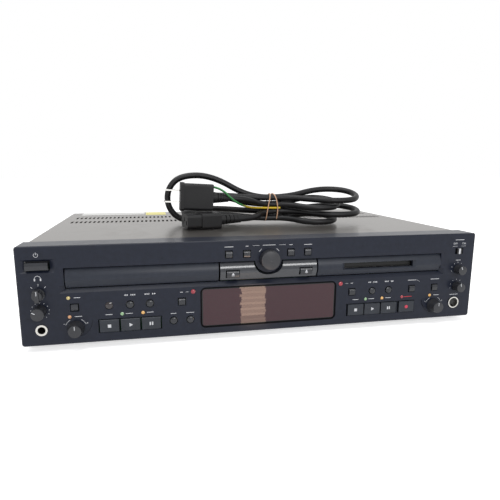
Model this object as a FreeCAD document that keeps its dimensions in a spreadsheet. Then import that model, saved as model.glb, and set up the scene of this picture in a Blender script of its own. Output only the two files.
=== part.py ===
import FreeCAD, Part
import math
import os

import Sketcher

# A rack-size deck with a compact-disc drawer and a minidisc slot, and its mains lead tied on the cover.
# The deck frame has X to the right, Y into the deck and Z up, with the floor at Z 0.
# Heights and places on the front are measured from the panel's middle and its lower edge.

DOC = FreeCAD.newDocument("Deck")
SHEET = DOC.addObject("Spreadsheet::Sheet", "Sizes")
X_DIR = FreeCAD.Vector(1, 0, 0)
Y_DIR = FreeCAD.Vector(0, 1, 0)
Z_DIR = FreeCAD.Vector(0, 0, 1)
NODES = []

SIZES = {
    # whole body
    "panel_width": 438,
    "panel_height": 88,
    "panel_depth": 25,
    "panel_face": 3.5,
    "panel_wall": 2.5,
    "panel_corner": 2.5,
    "panel_bevel": 0.8,
    "cover_inset": 5,
    "cover_top": 87,
    "body_depth": 290,
    "sheet_metal": 1.2,
    "seam": 0.3,
    "fit_gap": 0.15,
    "running_gap": 0.05,
    "foot_height": 6,
    "foot_radius": 12,
    "foot_taper": 1.5,
    "foot_side": 174,
    "foot_front": 45,
    "foot_rear": 250,
    "screw_radius": 2,
    "screw_head": 3.5,
    "screw_cap": 1.8,
    "screw_height": 38,
    "screw_first": 70,
    "screw_pitch": 90,
    # vents in the cover
    "vent_width": 2.5,
    "vent_length": 17,
    "vent_pitch": 5.15,
    "vent_count": 27,
    "vent_outer": 199.5,
    "vent_front_row": 177,
    "vent_rear_row": 222,
    # band across the front, for the drawer, the trim and the slot plate
    "band_half": 181.2,
    "band_low": 49.5,
    "band_high": 68.3,
    "band_gap": 0.9,
    "joint_gap": 1.5,
    "belly_back": 2.5,
    "belly_proud": 0.6,
    "belly_crease": 57,
    "belly_root": 5,
    "ledge_drop": 3.3,
    "ledge_depth": 3,
    "ledge_half": 185.5,
    "tray_front_width": 133,
    "trim_width": 93.4,
    # dial and its seat
    "dial_x": 0.2,
    "dial_z": 69.5,
    "dial_radius": 9.2,
    "dial_length": 8.5,
    "dial_crown": 1.2,
    "seat_radius": 13.2,
    "seat_wall": 2.4,
    "seat_floor": 2,
    # minidisc slot
    "slot_x": 113.6,
    "slot_z": 59,
    "slot_width": 74,
    "slot_height": 5.8,
    "slot_bevel_side": 3,
    "slot_bevel_low": 2.2,
    "slot_bevel_top": 0.6,
    "slot_bevel_depth": 2.2,
    "flap_thick": 0.8,
    "flap_pin": 0.8,
    "flap_rise": 1.2,
    "flap_depth": 7.2,
    # display window
    "window_left": -64,
    "window_right": 68,
    "window_low": 6.8,
    "window_high": 44.5,
    "window_corner": 4,
    "window_sunk": 0.5,
    "window_thick": 2.2,
    # controls: shared sizes
    "board_place": 12,
    "board_thick": 1.6,
    "button_tail": 8,
    "button_rest_gap": 0.8,
    "button_ring": 0.8,
    "button_proud": 1.4,
    "button_crown": 0.8,
    "button_flange": 1.2,
    "square_size": 5.8,
    "round_radius": 3,
    "wide_width": 11.4,
    "wide_height": 6,
    "key_width": 16.5,
    "key_height": 11.3,
    "key_gap": 1.2,
    "key_proud": 1.5,
    "key_bevel": 0.6,
    "shaft_radius": 3,
    "shaft_sleeve": 0.6,
    "knob_gap": 0.5,
    "bore_wall": 1.5,
    "lamp_radius": 1.5,
    "big_lamp_radius": 2,
    "lamp_proud": 0.6,
    "sensor_radius": 3.4,
    # controls: rows and columns
    "menu_row": 75,
    "menu_reach": 37.9,
    "answer_reach": 21.1,
    "open_inset": 11.6,
    "eject_inset": 11,
    "open_row": 56.5,
    "select_row": 33,
    "lamp_row": 41.8,
    "key_lamp_row": 24.8,
    "key_row": 14.6,
    "round_row": 15.5,
    "key_button_x": -173.9,
    "sensor_x": -145.2,
    "cd_back_x": -127.2,
    "cd_forward_x": -109.8,
    "cd_select_x": -81.4,
    "cd_lamp_x": -71,
    "time_x": -89.2,
    "display_x": -74,
    "md_lamp_x": 73,
    "md_select_x": 85,
    "md_back_x": 106.7,
    "md_forward_x": 124.5,
    "dubbing_x": 150.1,
    "input_select_x": 175.9,
    "cd_key_x": -145.6,
    "cd_key_pitch": 18.2,
    "md_key_x": 89.3,
    "md_key_pitch": 17.8,
    "record_key_x": 144.8,
    "key_lamp_shift": 7,
    # left column
    "left_column": 17,
    "power_z": 70.7,
    "power_width": 18.4,
    "power_height": 6.4,
    "power_proud": 2.2,
    "power_travel": 2.5,
    "power_dish_width": 28,
    "power_dish_height": 11.6,
    "power_dish_depth": 1.6,
    "power_ring": 1,
    "post_flange": 0.8,
    "source_z": 46.5,
    "source_radius": 5.2,
    "source_base": 2.5,
    "source_length": 9,
    "source_bar": 3.4,
    "level_z": 31.5,
    "level_radius": 5.6,
    "level_length": 11.5,
    "level_taper": 0.4,
    "jack_z": 14.3,
    "jack_nose": 4.9,
    "jack_bore": 3.2,
    "jack_length": 30,
    "jack_body": 6.5,
    # pitch controls
    "cd_pitch_x": -173.8,
    "md_pitch_x": 176.2,
    "pitch_z": 14,
    "pitch_radius": 7.3,
    "pitch_nose": 5.4,
    "pitch_length": 9.5,
    "pitch_lamp_shift": 4.8,
    "groove_radius": 13.4,
    "groove_width": 0.9,
    "groove_depth": 0.7,
    "groove_top": 20.5,
    "groove_low": 3.5,
    "wide_groove_radius": 50,
    "wide_groove_x": -64.6,
    # right column
    "right_column": 17.8,
    "switch_z": 69.8,
    "switch_width": 5,
    "switch_height": 5.4,
    "switch_window": 9,
    "input_left_z": 51,
    "input_right_z": 33,
    "input_radius": 4.9,
    "input_length": 8.5,
    "socket_inset": 19.7,
    "socket_z": 15.7,
    "socket_radius": 5.9,
    "socket_bore": 4.8,
    # disc drawer and loader
    "tray_width": 128,
    "tray_length": 175,
    "tray_low": 54,
    "tray_thick": 7,
    "tray_travel": 135,
    "disc_radius": 60.5,
    "disc_recess": 1.8,
    "disc_place": 72,
    "tray_window": 34,
    "guide_gap": 0.4,
    "guide_wall": 3,
    "guide_lip": 3,
    "loader_front": 28.5,
    "loader_length": 200,
    "loader_floor": 20,
    "loader_top": 74,
    "loader_plate": 3,
    "loader_leg": 10,
    "clamp_radius": 15,
    "clamp_gap": 2,
    "bridge_width": 34,
    "turntable_radius": 14,
    "turntable_high": 4.5,
    "spindle_radius": 1.5,
    "motor_radius": 12,
    "pickup_width": 30,
    "pickup_length": 24,
    "pickup_high": 10,
    "pickup_travel": 34,
    "rail_radius": 1.5,
    "rail_spread": 44,
    "gear_teeth": 16,
    "gear_module": 1,
    "gear_high": 3,
    "gear_place": 42,
    "rack_place": -52,
    "rack_width": 3,
    # minidisc drive
    "drive_front": 15,
    "drive_length": 112,
    "drive_width": 92,
    "drive_low": 50,
    "drive_high": 74,
    "drive_slot_depth": 70,
    "drive_leg": 8,
    # boards and transformer
    "board_low": 4.5,
    "board_top": 46.3,
    "board_inset": 1,
    "frame_side": 4,
    "post_radius": 2.5,
    "post_outer": 189,
    "post_inner": 97,
    "post_high": 43.5,
    "post_low": 7.5,
    "post_low_left": -95.5,
    "post_low_right": 73.8,
    "main_board_left": 20,
    "main_board_inset": 14,
    "main_board_front": 165,
    "main_board_rear": 275,
    "main_board_rise": 8,
    "chip_size": 14,
    "chip_first": 30,
    "chip_pitch": 36,
    "capacitor_radius": 5,
    "capacitor_high": 16,
    "capacitor_place": 22,
    "header_place": 20,
    "header_length": 40,
    "header_depth": 6,
    "board_edge": 6,
    "core_left": -140,
    "core_rear": 278,
    "core_width": 62,
    "core_depth": 42,
    "core_high": 52,
    # rear sockets
    "socket_reach": 9,
    "phono_radius": 4.15,
    "phono_flange": 5.2,
    "phono_pitch": 15,
    "phono_left": 10,
    "phono_low": 46,
    "phono_rise": 19,
    "inlet_x": -170,
    "inlet_z": 48,
    "inlet_width": 27,
    "inlet_height": 19.5,
    "inlet_mouth_width": 24.6,
    "inlet_mouth_height": 16.6,
    "inlet_deep": 16,
    "inlet_body": 20,
    "port_x": 120,
    "port_z": 50,
    "port_width": 40,
    "port_height": 12,
    # mains lead, wound into a hank that a pair of bands ties at its waist
    "lead_radius": 3.5,
    "lead_rest": 0.4,
    "waist_x": 36,
    "waist_y": 128,
    "waist_low": 94,
    "strand_rise": 8,
    "strand_step": 7.9,
    "fold_radius": 23,
    "tall_fold_radius": 26.5,
    "fan_forward": 8,
    "fan_rise": 8.2,
    "fan_tilt": 6,
    "fan_spread": 2.67,
    "right_reach_0": 112,
    "right_reach_1": 141.5,
    "right_reach_2": 115.5,
    "right_reach_3": 139.5,
    "left_reach": -67,
    "left_back": 151,
    "left_upper": 119.5,
    "left_lower": 100.5,
    "left_upper_tilt": 4,
    "left_lower_tilt": 3,
    "tall_reach": -86.5,
    "tall_back": 137,
    "tall_middle": 117.4,
    "tall_lean": 4,
    "earth_radius": 1.2,
    # plug, measured from the end of its strain relief
    "plug_x": -20,
    "plug_y": 107.5,
    "plug_z": 119,
    "plug_slope": 0.05,
    "plug_relief": 18,
    "plug_relief_radius": 6.5,
    "plug_length": 36,
    "plug_height": 31,
    "plug_thick": 22,
    "plug_corner": 3,
    "plug_flange": 4,
    "plug_step": 1,
    "blade_length": 17.5,
    "blade_width": 6.3,
    "blade_thick": 1.5,
    "blade_pitch": 12.7,
    # appliance connector, measured from the end of its strain relief
    "connector_x": -7,
    "connector_y": 102.4,
    "connector_z": 96,
    "connector_turn": 0.2,
    "connector_relief": 27,
    "connector_relief_radius": 6,
    "connector_length": 38,
    "connector_width": 26,
    "connector_thick": 17,
    "connector_nose": 16,
    "connector_step": 1.2,
    "contact_width": 4.5,
    "contact_thick": 2.4,
    "contact_deep": 14,
    "contact_pitch": 7,
}


class Size:
    """A length with its value and the expression that ties it to the sheet."""

    def __init__(self, value, text):
        self.value = float(value)
        self.text = text

    def __add__(self, other):
        other = as_size(other)
        return Size(self.value + other.value, f"({self.text} + {other.text})")

    def __sub__(self, other):
        other = as_size(other)
        return Size(self.value - other.value, f"({self.text} - {other.text})")

    def __mul__(self, other):
        other = as_size(other)
        return Size(self.value * other.value, f"({self.text} * {other.text})")

    def __truediv__(self, other):
        other = as_size(other)
        return Size(self.value / other.value, f"({self.text} / {other.text})")

    def __radd__(self, other):
        return as_size(other) + self

    def __rsub__(self, other):
        return as_size(other) - self

    def __rmul__(self, other):
        return as_size(other) * self

    def __neg__(self):
        return Size(-self.value, f"(-1 * {self.text})")


def as_size(thing):
    """A plain number or a Size, as a Size."""
    return thing if isinstance(thing, Size) else Size(thing, repr(float(thing)))


class Sheet:
    """Gives each cell of the sheet as a Size: s.panel_width is the cell with that alias."""

    def __getattr__(self, alias):
        return Size(SIZES[alias], "Sizes." + alias)


s = Sheet()


def fill_sheet():
    """Write each driving dimension into the sheet as a plain number with its alias."""
    for row, (alias, number) in enumerate(SIZES.items(), start=1):
        SHEET.set(f"A{row}", alias)
        SHEET.set(f"B{row}", str(number))
        SHEET.setAlias(f"B{row}", alias)
    DOC.recompute()


def tie(item, path, size):
    """Bind one property to a size, or set it where it is a plain number."""
    item.setExpression(path, as_size(size).text)


def move(item, x=0, y=0, z=0):
    """Tie an item's place to three sizes."""
    for axis, size in zip("xyz", (x, y, z)):
        tie(item, f"Placement.Base.{axis}", size)
    return item


# Solids from primitives


def box(name, low, high):
    """A block between two corners."""
    block = DOC.addObject("Part::Box", name)
    for side, a, b in zip(("Length", "Width", "Height"), low, high):
        tie(block, side, as_size(b) - as_size(a))
    return move(block, *low)


TURNS = {
    "x": FreeCAD.Rotation(Y_DIR, 90),
    "y": FreeCAD.Rotation(X_DIR, -90),
    "z": FreeCAD.Rotation(),
}


def rod(name, along, base, length, radius, end_radius=None):
    """A round bar from its base point along an axis, tapered where an end radius is given."""
    kind = "Part::Cylinder" if end_radius is None else "Part::Cone"
    bar = DOC.addObject(kind, name)
    if end_radius is None:
        tie(bar, "Radius", radius)
    else:
        tie(bar, "Radius1", radius)
        tie(bar, "Radius2", end_radius)
    tie(bar, "Height", length)
    bar.Placement = FreeCAD.Placement(FreeCAD.Vector(), TURNS[along])
    return move(bar, *base)


def funnel(name, low, high, inner_low, inner_high, y_start, y_end):
    """A block whose front face is larger than its back face, for sunk and bevelled openings."""
    wedge = DOC.addObject("Part::Wedge", name)
    rules = {
        "Xmin": low[0],
        "Xmax": high[0],
        "Zmin": low[1],
        "Zmax": high[1],
        "X2min": inner_low[0],
        "X2max": inner_high[0],
        "Z2min": inner_low[1],
        "Z2max": inner_high[1],
        "Ymin": y_start,
        "Ymax": y_end,
    }
    for path, size in rules.items():
        tie(wedge, path, size)
    return wedge


def join(name, *parts):
    """Fuse parts into one solid, or group those that stay apart."""
    fused = DOC.addObject("Part::MultiFuse", name)
    fused.Shapes = list(parts)
    return fused


def cut(name, base, *tools):
    """Take tools away from a base."""
    result = DOC.addObject("Part::Cut", name)
    result.Base = base
    result.Tool = tools[0] if len(tools) == 1 else join(name + "_tools", *tools)
    return result


def overlap(name, base, tool):
    """What two solids share."""
    result = DOC.addObject("Part::Common", name)
    result.Base = base
    result.Tool = tool
    return result


def group(name, *parts):
    """Separate solids that are handed over as one node."""
    held = DOC.addObject("Part::Compound", name)
    held.Links = list(parts)
    return held


# Bodies from sketches


def origin_plane(body, role):
    """One of a body's own origin planes."""
    return next(item for item in body.Origin.OriginFeatures if item.Role == role)


def outline(body, role, corners, bulges=None):
    """A closed sketch through corners, each given by two sizes, with arcs of given radius on some sides."""
    bulges = bulges or {}
    sketch = body.newObject("Sketcher::SketchObject", body.Name + "_outline")
    sketch.AttachmentSupport = [(origin_plane(body, role), "")]
    sketch.MapMode = "FlatFace"
    corners = [(as_size(u), as_size(v)) for u, v in corners]
    points = [FreeCAD.Vector(u.value, v.value, 0) for u, v in corners]
    for side, (u, v) in enumerate(corners):
        start, end = points[side], points[(side + 1) % len(points)]
        if side in bulges:
            sketch.addGeometry(bulge(start, end, as_size(bulges[side]).value))
        else:
            sketch.addGeometry(Part.LineSegment(start, end))
    rules = []
    for side in range(len(corners)):
        ahead = (side + 1) % len(corners)
        rules.append(Sketcher.Constraint("Coincident", side, 2, ahead, 1))
    sketch.addConstraint(rules)
    for side, (u, v) in enumerate(corners):
        for kind, size in (("DistanceX", u), ("DistanceY", v)):
            number = sketch.addConstraint(Sketcher.Constraint(kind, -1, 1, side, 1, size.value))
            tie(sketch, f"Constraints[{number}]", size)
    for side, radius in bulges.items():
        number = sketch.addConstraint(Sketcher.Constraint("Radius", side, as_size(radius).value))
        tie(sketch, f"Constraints[{number}]", radius)
    return sketch


def bulge(start, end, radius):
    """An arc from start to end, turning left."""
    middle = (start + end) * 0.5
    half = (end - start).Length / 2
    rise = math.sqrt(max(radius * radius - half * half, 0))
    along = (end - start).normalize()
    centre = middle + FreeCAD.Vector(-along.y, along.x, 0) * rise
    first = math.atan2(start.y - centre.y, start.x - centre.x)
    second = math.atan2(end.y - centre.y, end.x - centre.x)
    circle = Part.Circle(centre, Z_DIR, radius)
    return Part.ArcOfCircle(circle, first, second if second > first else second + 2 * math.pi)


def pad(name, role, corners, length, bulges=None, midplane=False, backwards=False):
    """A body padded from one outline."""
    body = DOC.addObject("PartDesign::Body", name)
    sketch = outline(body, role, corners, bulges)
    feature = body.newObject("PartDesign::Pad", name + "_pad")
    feature.Profile = sketch
    feature.Midplane = midplane
    feature.Reversed = backwards
    tie(feature, "Length", length)
    sketch.Visibility = False
    return body


def turned(name, corners, bulges=None):
    """A body turned about its own Y axis, from an outline of radius and depth."""
    body = DOC.addObject("PartDesign::Body", name)
    sketch = outline(body, "XY_Plane", corners, bulges)
    feature = body.newObject("PartDesign::Revolution", name + "_turn")
    feature.Profile = sketch
    feature.ReferenceAxis = (sketch, ["V_Axis"])
    feature.Angle = 360
    return body


def crown_radius(half_width, rise):
    """The radius of an arc with this half width and rise."""
    half_width, rise = as_size(half_width), as_size(rise)
    return (half_width * half_width + rise * rise) / (2 * rise)


def node(item, name, x=0, y=0, z=0):
    """Name a finished sub-part and carry it from the deck frame to the row's own frame."""
    item.Label = name
    move(item, x, FRONT + y, z)
    NODES.append(item)
    return item


# The row's origin is on the floor under the middle of the whole object, so the front face lies before it
FRONT = (s.knob_gap + s.level_length - s.body_depth - s.socket_reach) / 2
BASE = s.foot_height
FLOOR = s.foot_height + s.sheet_metal
HALF = s.panel_width / 2
COVER_HALF = HALF - s.cover_inset
BOARD_REACH = COVER_HALF - s.board_inset
LEFT_COLUMN = s.left_column - HALF
RIGHT_COLUMN = HALF - s.right_column
SOCKET_X = HALF - s.socket_inset
TRAY_LEFT = s.band_gap - s.band_half
TRAY_MIDDLE = TRAY_LEFT + s.tray_front_width / 2
TRIM_LEFT = TRAY_LEFT + s.tray_front_width + s.joint_gap
TRIM_RIGHT = TRIM_LEFT + s.trim_width
PLATE_LEFT = TRIM_RIGHT + s.joint_gap
PLATE_RIGHT = s.band_half - s.seam
SHAFT_HOLE = s.shaft_radius + s.shaft_sleeve

SQUARES = {
    "cd_menu_button": (s.dial_x - s.menu_reach, s.menu_row),
    "no_button": (s.dial_x - s.answer_reach, s.menu_row),
    "yes_button": (s.dial_x + s.answer_reach, s.menu_row),
    "md_menu_button": (s.dial_x + s.menu_reach, s.menu_row),
    "key_button": (s.key_button_x, s.select_row),
    "cd_select_button": (s.cd_select_x, s.select_row),
    "md_select_button": (s.md_select_x, s.select_row),
    "dubbing_button": (s.dubbing_x, s.select_row),
    "input_select_button": (s.input_select_x, s.select_row),
}
ROUNDS = {
    "cd_back_button": (s.cd_back_x, s.select_row),
    "cd_forward_button": (s.cd_forward_x, s.select_row),
    "time_button": (s.time_x, s.round_row),
    "display_button": (s.display_x, s.round_row),
    "md_back_button": (s.md_back_x, s.select_row),
    "md_forward_button": (s.md_forward_x, s.select_row),
}
WIDES = {
    "open_close_button": (TRIM_LEFT + s.open_inset, s.open_row),
    "eject_button": (TRIM_RIGHT - s.eject_inset, s.open_row),
}
KEYS = {
    "cd_stop_key": (s.cd_key_x, s.key_row),
    "cd_play_key": (s.cd_key_x + s.cd_key_pitch, s.key_row),
    "cd_ready_key": (s.cd_key_x + 2 * s.cd_key_pitch, s.key_row),
    "md_stop_key": (s.md_key_x, s.key_row),
    "md_play_key": (s.md_key_x + s.md_key_pitch, s.key_row),
    "md_ready_key": (s.md_key_x + 2 * s.md_key_pitch, s.key_row),
    "record_key": (s.record_key_x, s.key_row),
}
LAMPS = {
    "cd_lamp": (s.cd_lamp_x, s.lamp_row, s.big_lamp_radius),
    "md_lamp": (s.md_lamp_x, s.lamp_row, s.big_lamp_radius),
    "key_lamp": (s.key_button_x - s.pitch_lamp_shift, s.lamp_row, s.lamp_radius),
    "cd_pitch_lamp": (s.cd_pitch_x - s.pitch_lamp_shift, s.key_lamp_row, s.lamp_radius),
    "cd_play_lamp": (s.cd_key_x + s.cd_key_pitch - s.key_lamp_shift, s.key_lamp_row, s.lamp_radius),
    "cd_ready_lamp": (
        s.cd_key_x + 2 * s.cd_key_pitch - s.key_lamp_shift,
        s.key_lamp_row,
        s.lamp_radius,
    ),
    "md_play_lamp": (s.md_key_x + s.md_key_pitch - s.key_lamp_shift, s.key_lamp_row, s.lamp_radius),
    "md_ready_lamp": (
        s.md_key_x + 2 * s.md_key_pitch - s.key_lamp_shift,
        s.key_lamp_row,
        s.lamp_radius,
    ),
    "record_lamp": (s.record_key_x - s.pitch_lamp_shift, s.key_lamp_row, s.lamp_radius),
    "md_pitch_lamp": (s.md_pitch_x - s.pitch_lamp_shift, s.key_lamp_row, s.lamp_radius),
    "sensor": (s.sensor_x, s.select_row, s.sensor_radius),
}
PUSH_SHAFTS = {
    "jog_shaft": (s.dial_x, s.dial_z, s.dial_length),
    "cd_pitch_shaft": (s.cd_pitch_x, s.pitch_z, s.pitch_length),
    "md_pitch_shaft": (s.md_pitch_x, s.pitch_z, s.pitch_length),
}
FIXED_SHAFTS = {
    "source": (LEFT_COLUMN, s.source_z, s.source_length),
    "level": (LEFT_COLUMN, s.level_z, s.level_length),
    "input_left": (RIGHT_COLUMN, s.input_left_z, s.input_length),
    "input_right": (RIGHT_COLUMN, s.input_right_z, s.input_length),
}
SHAFTS = {**PUSH_SHAFTS, **FIXED_SHAFTS}


# Front


def through(name, x, z, half_width, half_height, y_end):
    """A rectangular cutter through the panel's face."""
    return box(
        name,
        (x - half_width, -1, BASE + z - half_height),
        (x + half_width, y_end, BASE + z + half_height),
    )


def front_panel():
    """The moulded panel: a shallow shell with the band opening, the ledge and a hole for each control."""
    outer = pad(
        "panel_block",
        "XZ_Plane",
        rounded(-HALF, BASE, HALF, BASE + s.panel_height, s.panel_corner),
        s.panel_depth,
        bulges={side: s.panel_corner for side in (1, 3, 5, 7)},
        backwards=True,
    )
    bevel_front(outer)
    hollow = box(
        "panel_hollow",
        (s.panel_wall - HALF, s.panel_face, BASE + s.panel_wall),
        (HALF - s.panel_wall, s.panel_depth + 1, BASE + s.panel_height - s.panel_wall),
    )
    posts = [
        rod(
            f"post_{number}",
            "y",
            (x, s.panel_face - 0.5, BASE + z),
            s.board_place - s.panel_face + 0.5,
            s.post_radius,
        )
        for number, (x, z) in enumerate(post_places())
    ]
    shell = join("panel_shell", cut("panel_open", outer, hollow), *posts)
    panel = cut("front_panel", shell, *panel_cutters())
    node(panel, "front_panel")


def rounded(left, low, right, high, radius):
    """Corners of a rectangle whose own corners are arcs, from the start of its lower side."""
    return [
        (left + radius, low),
        (right - radius, low),
        (right, low + radius),
        (right, high - radius),
        (right - radius, high),
        (left + radius, high),
        (left, high - radius),
        (left, low + radius),
    ]


def bevel_front(body):
    """Chamfer the edges of a body's front face."""
    DOC.recompute()
    feature = body.Tip
    edges = [
        f"Edge{number}"
        for number, edge in enumerate(feature.Shape.Edges, start=1)
        if all(abs(vertex.Y) < 1e-6 for vertex in edge.Vertexes)
    ]
    bevel = body.newObject("PartDesign::Chamfer", body.Name + "_bevel")
    bevel.Base = (feature, edges)
    tie(bevel, "Size", s.panel_bevel)


def post_places():
    """Where the board's posts stand, between the controls."""
    upper = [(side * reach, s.post_high) for side in (-1, 1) for reach in (s.post_outer, s.post_inner)]
    lower = [(x, s.post_low) for x in (-s.post_outer, s.post_low_left, s.post_low_right, s.post_outer)]
    return upper + lower


def panel_cutters():
    """Every opening in the panel's face."""
    face_end = s.panel_face + 1
    cutters = [
        band_cutter(face_end),
        seat_cutter(),
        ledge_cutter(),
        window_cutter(face_end),
        power_cutter(),
    ]
    cutters.append(
        through(
            "power_hole",
            LEFT_COLUMN,
            s.power_z,
            POWER_HALF + s.power_ring,
            POWER_RISE + s.power_ring,
            face_end,
        )
    )
    for name, (x, z) in SQUARES.items():
        half = s.square_size / 2 + s.button_ring
        cutters.append(through(name + "_hole", x, z, half, half, face_end))
    for name, (x, z) in ROUNDS.items():
        cutters.append(
            rod(name + "_hole", "y", (x, -1, BASE + z), face_end + 1, s.round_radius + s.button_ring)
        )
    for name, (x, z) in KEYS.items():
        half = s.key_width / 2 + s.key_gap
        cutters.append(through(name + "_hole", x, z, half, s.key_height / 2 + s.key_gap / 2, face_end))
    for name, (x, z, radius) in LAMPS.items():
        cutters.append(rod(name + "_hole", "y", (x, -1, BASE + z), face_end + 1, radius + s.fit_gap))
    for name, (x, z, length) in SHAFTS.items():
        cutters.append(rod(name + "_hole", "y", (x, -1, BASE + z), face_end + 1, SHAFT_HOLE))
    cutters.append(
        rod("jack_hole", "y", (LEFT_COLUMN, -1, BASE + s.jack_z), face_end + 1, s.jack_nose + s.fit_gap)
    )
    cutters.append(
        rod(
            "socket_hole",
            "y",
            (SOCKET_X, -1, BASE + s.socket_z),
            face_end + 1,
            s.socket_radius + s.fit_gap,
        )
    )
    window_half = s.switch_window / 2
    cutters.append(
        through(
            "switch_hole",
            RIGHT_COLUMN,
            s.switch_z,
            window_half,
            s.switch_height / 2 + s.seam,
            face_end,
        )
    )
    return cutters + grooves()


def band_cutter(face_end):
    """The long opening, which leaves a tongue behind the dial."""
    low = (-s.band_half, -1, BASE + s.band_low)
    high = (s.band_half, face_end, BASE + s.band_high)
    tongue = rod("tongue", "y", (s.dial_x, -2, BASE + s.dial_z), face_end + 3, s.seat_radius)
    return cut("band_opening", box("band_block", low, high), tongue)


def seat_cutter():
    """The sunk seat under the lower half of the dial."""
    low = (s.dial_x - s.seat_radius, -1, BASE + s.band_low)
    high = (s.dial_x + s.seat_radius, s.seat_floor, BASE + s.band_high)
    disc = rod("seat_disc", "y", (s.dial_x, -2, BASE + s.dial_z), s.seat_floor + 2, s.seat_radius)
    return overlap("dial_seat", box("seat_block", low, high), disc)


def ledge_cutter():
    """The slope that leads up into the band."""
    top = BASE + s.band_low
    return funnel(
        "ledge",
        (-s.ledge_half, top - s.ledge_drop),
        (s.ledge_half, top + s.ledge_drop),
        (-s.band_half, top),
        (s.band_half, top + s.ledge_drop),
        0,
        s.ledge_depth,
    )


def window_cutter(face_end):
    """The opening of the display window."""
    corners = rounded(
        s.window_left, BASE + s.window_low, s.window_right, BASE + s.window_high, s.window_corner
    )
    cutter = pad(
        "window_opening", "XZ_Plane", corners, 2 * face_end, {side: s.window_corner for side in (1, 3, 5, 7)}, True
    )
    return cutter


POWER_HALF = s.power_width / 2
POWER_RISE = s.power_height / 2


def power_cutter():
    """The sloped dish round the power button."""
    inner_x = POWER_HALF + s.power_ring
    inner_z = POWER_RISE + s.power_ring
    outer_x = s.power_dish_width / 2
    outer_z = s.power_dish_height / 2
    z = BASE + s.power_z
    return funnel(
        "power_dish",
        (LEFT_COLUMN - outer_x, z - outer_z),
        (LEFT_COLUMN + outer_x, z + outer_z),
        (LEFT_COLUMN - inner_x, z - inner_z),
        (LEFT_COLUMN + inner_x, z + inner_z),
        0,
        s.power_dish_depth,
    )


def grooves():
    """Curved lines beside the two pitch knobs, and a gentler one beside the window."""
    cutters = []
    for name, x, radius, side in (
        ("left", s.cd_pitch_x, s.groove_radius, 1),
        ("middle", s.wide_groove_x + s.wide_groove_radius, s.wide_groove_radius, -1),
        ("right", s.md_pitch_x, s.groove_radius, -1),
    ):
        z = BASE + s.groove_top
        ring = cut(
            name + "_ring",
            rod(name + "_rim", "y", (x, -1, z), s.groove_depth + 1, radius + s.groove_width),
            rod(name + "_core", "y", (x, -2, z), s.groove_depth + 3, radius),
        )
        outer_x = x + side * (radius + s.groove_width)
        inner_x = x + side * radius / 4
        edges = (outer_x, inner_x) if side < 0 else (inner_x, outer_x)
        window = box(
            name + "_span",
            (edges[0], -1, BASE + s.groove_low),
            (edges[1], s.groove_depth, BASE + s.groove_top),
        )
        cutters.append(overlap(name + "_groove", ring, window))
    return cutters


def belly(name, left, width):
    """A trim with the band's profile: curved back at the top, sloped back at the bottom."""
    low = BASE + s.band_low + s.band_gap
    high = BASE + s.band_high - s.band_gap
    crease = BASE + s.belly_crease
    rise = s.belly_back + s.belly_proud
    corners = [
        (s.belly_root, low),
        (s.belly_root, high),
        (s.belly_back, high),
        (-s.belly_proud, crease),
        (s.belly_back, low),
    ]
    trim = pad(name, "YZ_Plane", corners, width, {2: crown_radius(high - crease, rise)})
    return move(trim, left, 0, 0)


def centre_trim():
    """The trim between the drawer and the slot, scooped out round the dial, with its two button holes."""
    trim = belly("trim_bar", TRIM_LEFT, s.trim_width)
    scoop = rod(
        "scoop",
        "y",
        (s.dial_x, -s.belly_proud - 1, BASE + s.dial_z),
        s.belly_proud + 1 + s.belly_root + 1,
        s.seat_radius + s.seat_wall,
        s.seat_radius + s.fit_gap,
    )
    holes = [
        box(
            name + "_hole",
            (
                x - s.wide_width / 2 - s.button_ring,
                -s.belly_proud - 1,
                BASE + z - s.wide_height / 2 - s.button_ring,
            ),
            (
                x + s.wide_width / 2 + s.button_ring,
                s.belly_root + 1,
                BASE + z + s.wide_height / 2 + s.button_ring,
            ),
        )
        for name, (x, z) in WIDES.items()
    ]
    lugs = [
        box(
            f"trim_lug_{side}",
            (x, s.panel_face + s.fit_gap, BASE + s.band_high - s.band_gap - 1),
            (x + s.loader_leg, s.belly_root, BASE + s.band_high + 2),
        )
        for side, x in enumerate((TRIM_LEFT + 2, TRIM_RIGHT - s.loader_leg - 2))
    ]
    node(join("centre_trim", cut("trim_cut", trim, scoop, *holes), *lugs), "centre_trim")


def md_plate():
    """The plate with the bevelled slot, and two ears behind it that carry the flap."""
    plate = belly("plate_bar", PLATE_LEFT, PLATE_RIGHT - PLATE_LEFT)
    half = s.slot_width / 2
    low = BASE + s.slot_z - s.slot_height / 2
    high = BASE + s.slot_z + s.slot_height / 2
    slot = box("slot", (s.slot_x - half, -2, low), (s.slot_x + half, s.belly_root + 1, high))
    front = -s.belly_proud
    bevel = funnel(
        "slot_bevel",
        (s.slot_x - half - s.slot_bevel_side, low - s.slot_bevel_low),
        (s.slot_x + half + s.slot_bevel_side, high + s.slot_bevel_top),
        (s.slot_x - half, low),
        (s.slot_x + half, high),
        front,
        front + s.slot_bevel_depth,
    )
    ears = []
    for side, x in (("left", s.slot_x - half - 2), ("right", s.slot_x + half)):
        ear = box(
            side + "_ear",
            (x, s.belly_root - 1, high - 2),
            (x + 2, s.flap_depth + 2 * s.flap_pin, BASE + s.band_high - s.band_gap),
        )
        hole = rod(
            side + "_pin_hole",
            "x",
            (x - 1, s.flap_depth, high + s.flap_rise),
            4,
            s.flap_pin + s.running_gap,
        )
        ears.append(cut(side + "_ear_bored", ear, hole))
    lugs = [
        box(
            f"plate_lug_{side}",
            (x, s.panel_face + s.fit_gap, BASE + s.band_high - s.band_gap - 1),
            (x + s.loader_leg, s.belly_root, BASE + s.band_high + 2),
        )
        for side, x in enumerate((PLATE_LEFT + 2, PLATE_RIGHT - s.loader_leg - 2))
    ]
    node(join("md_plate", cut("plate_cut", plate, bevel, slot), *ears, *lugs), "md_plate")


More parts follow.
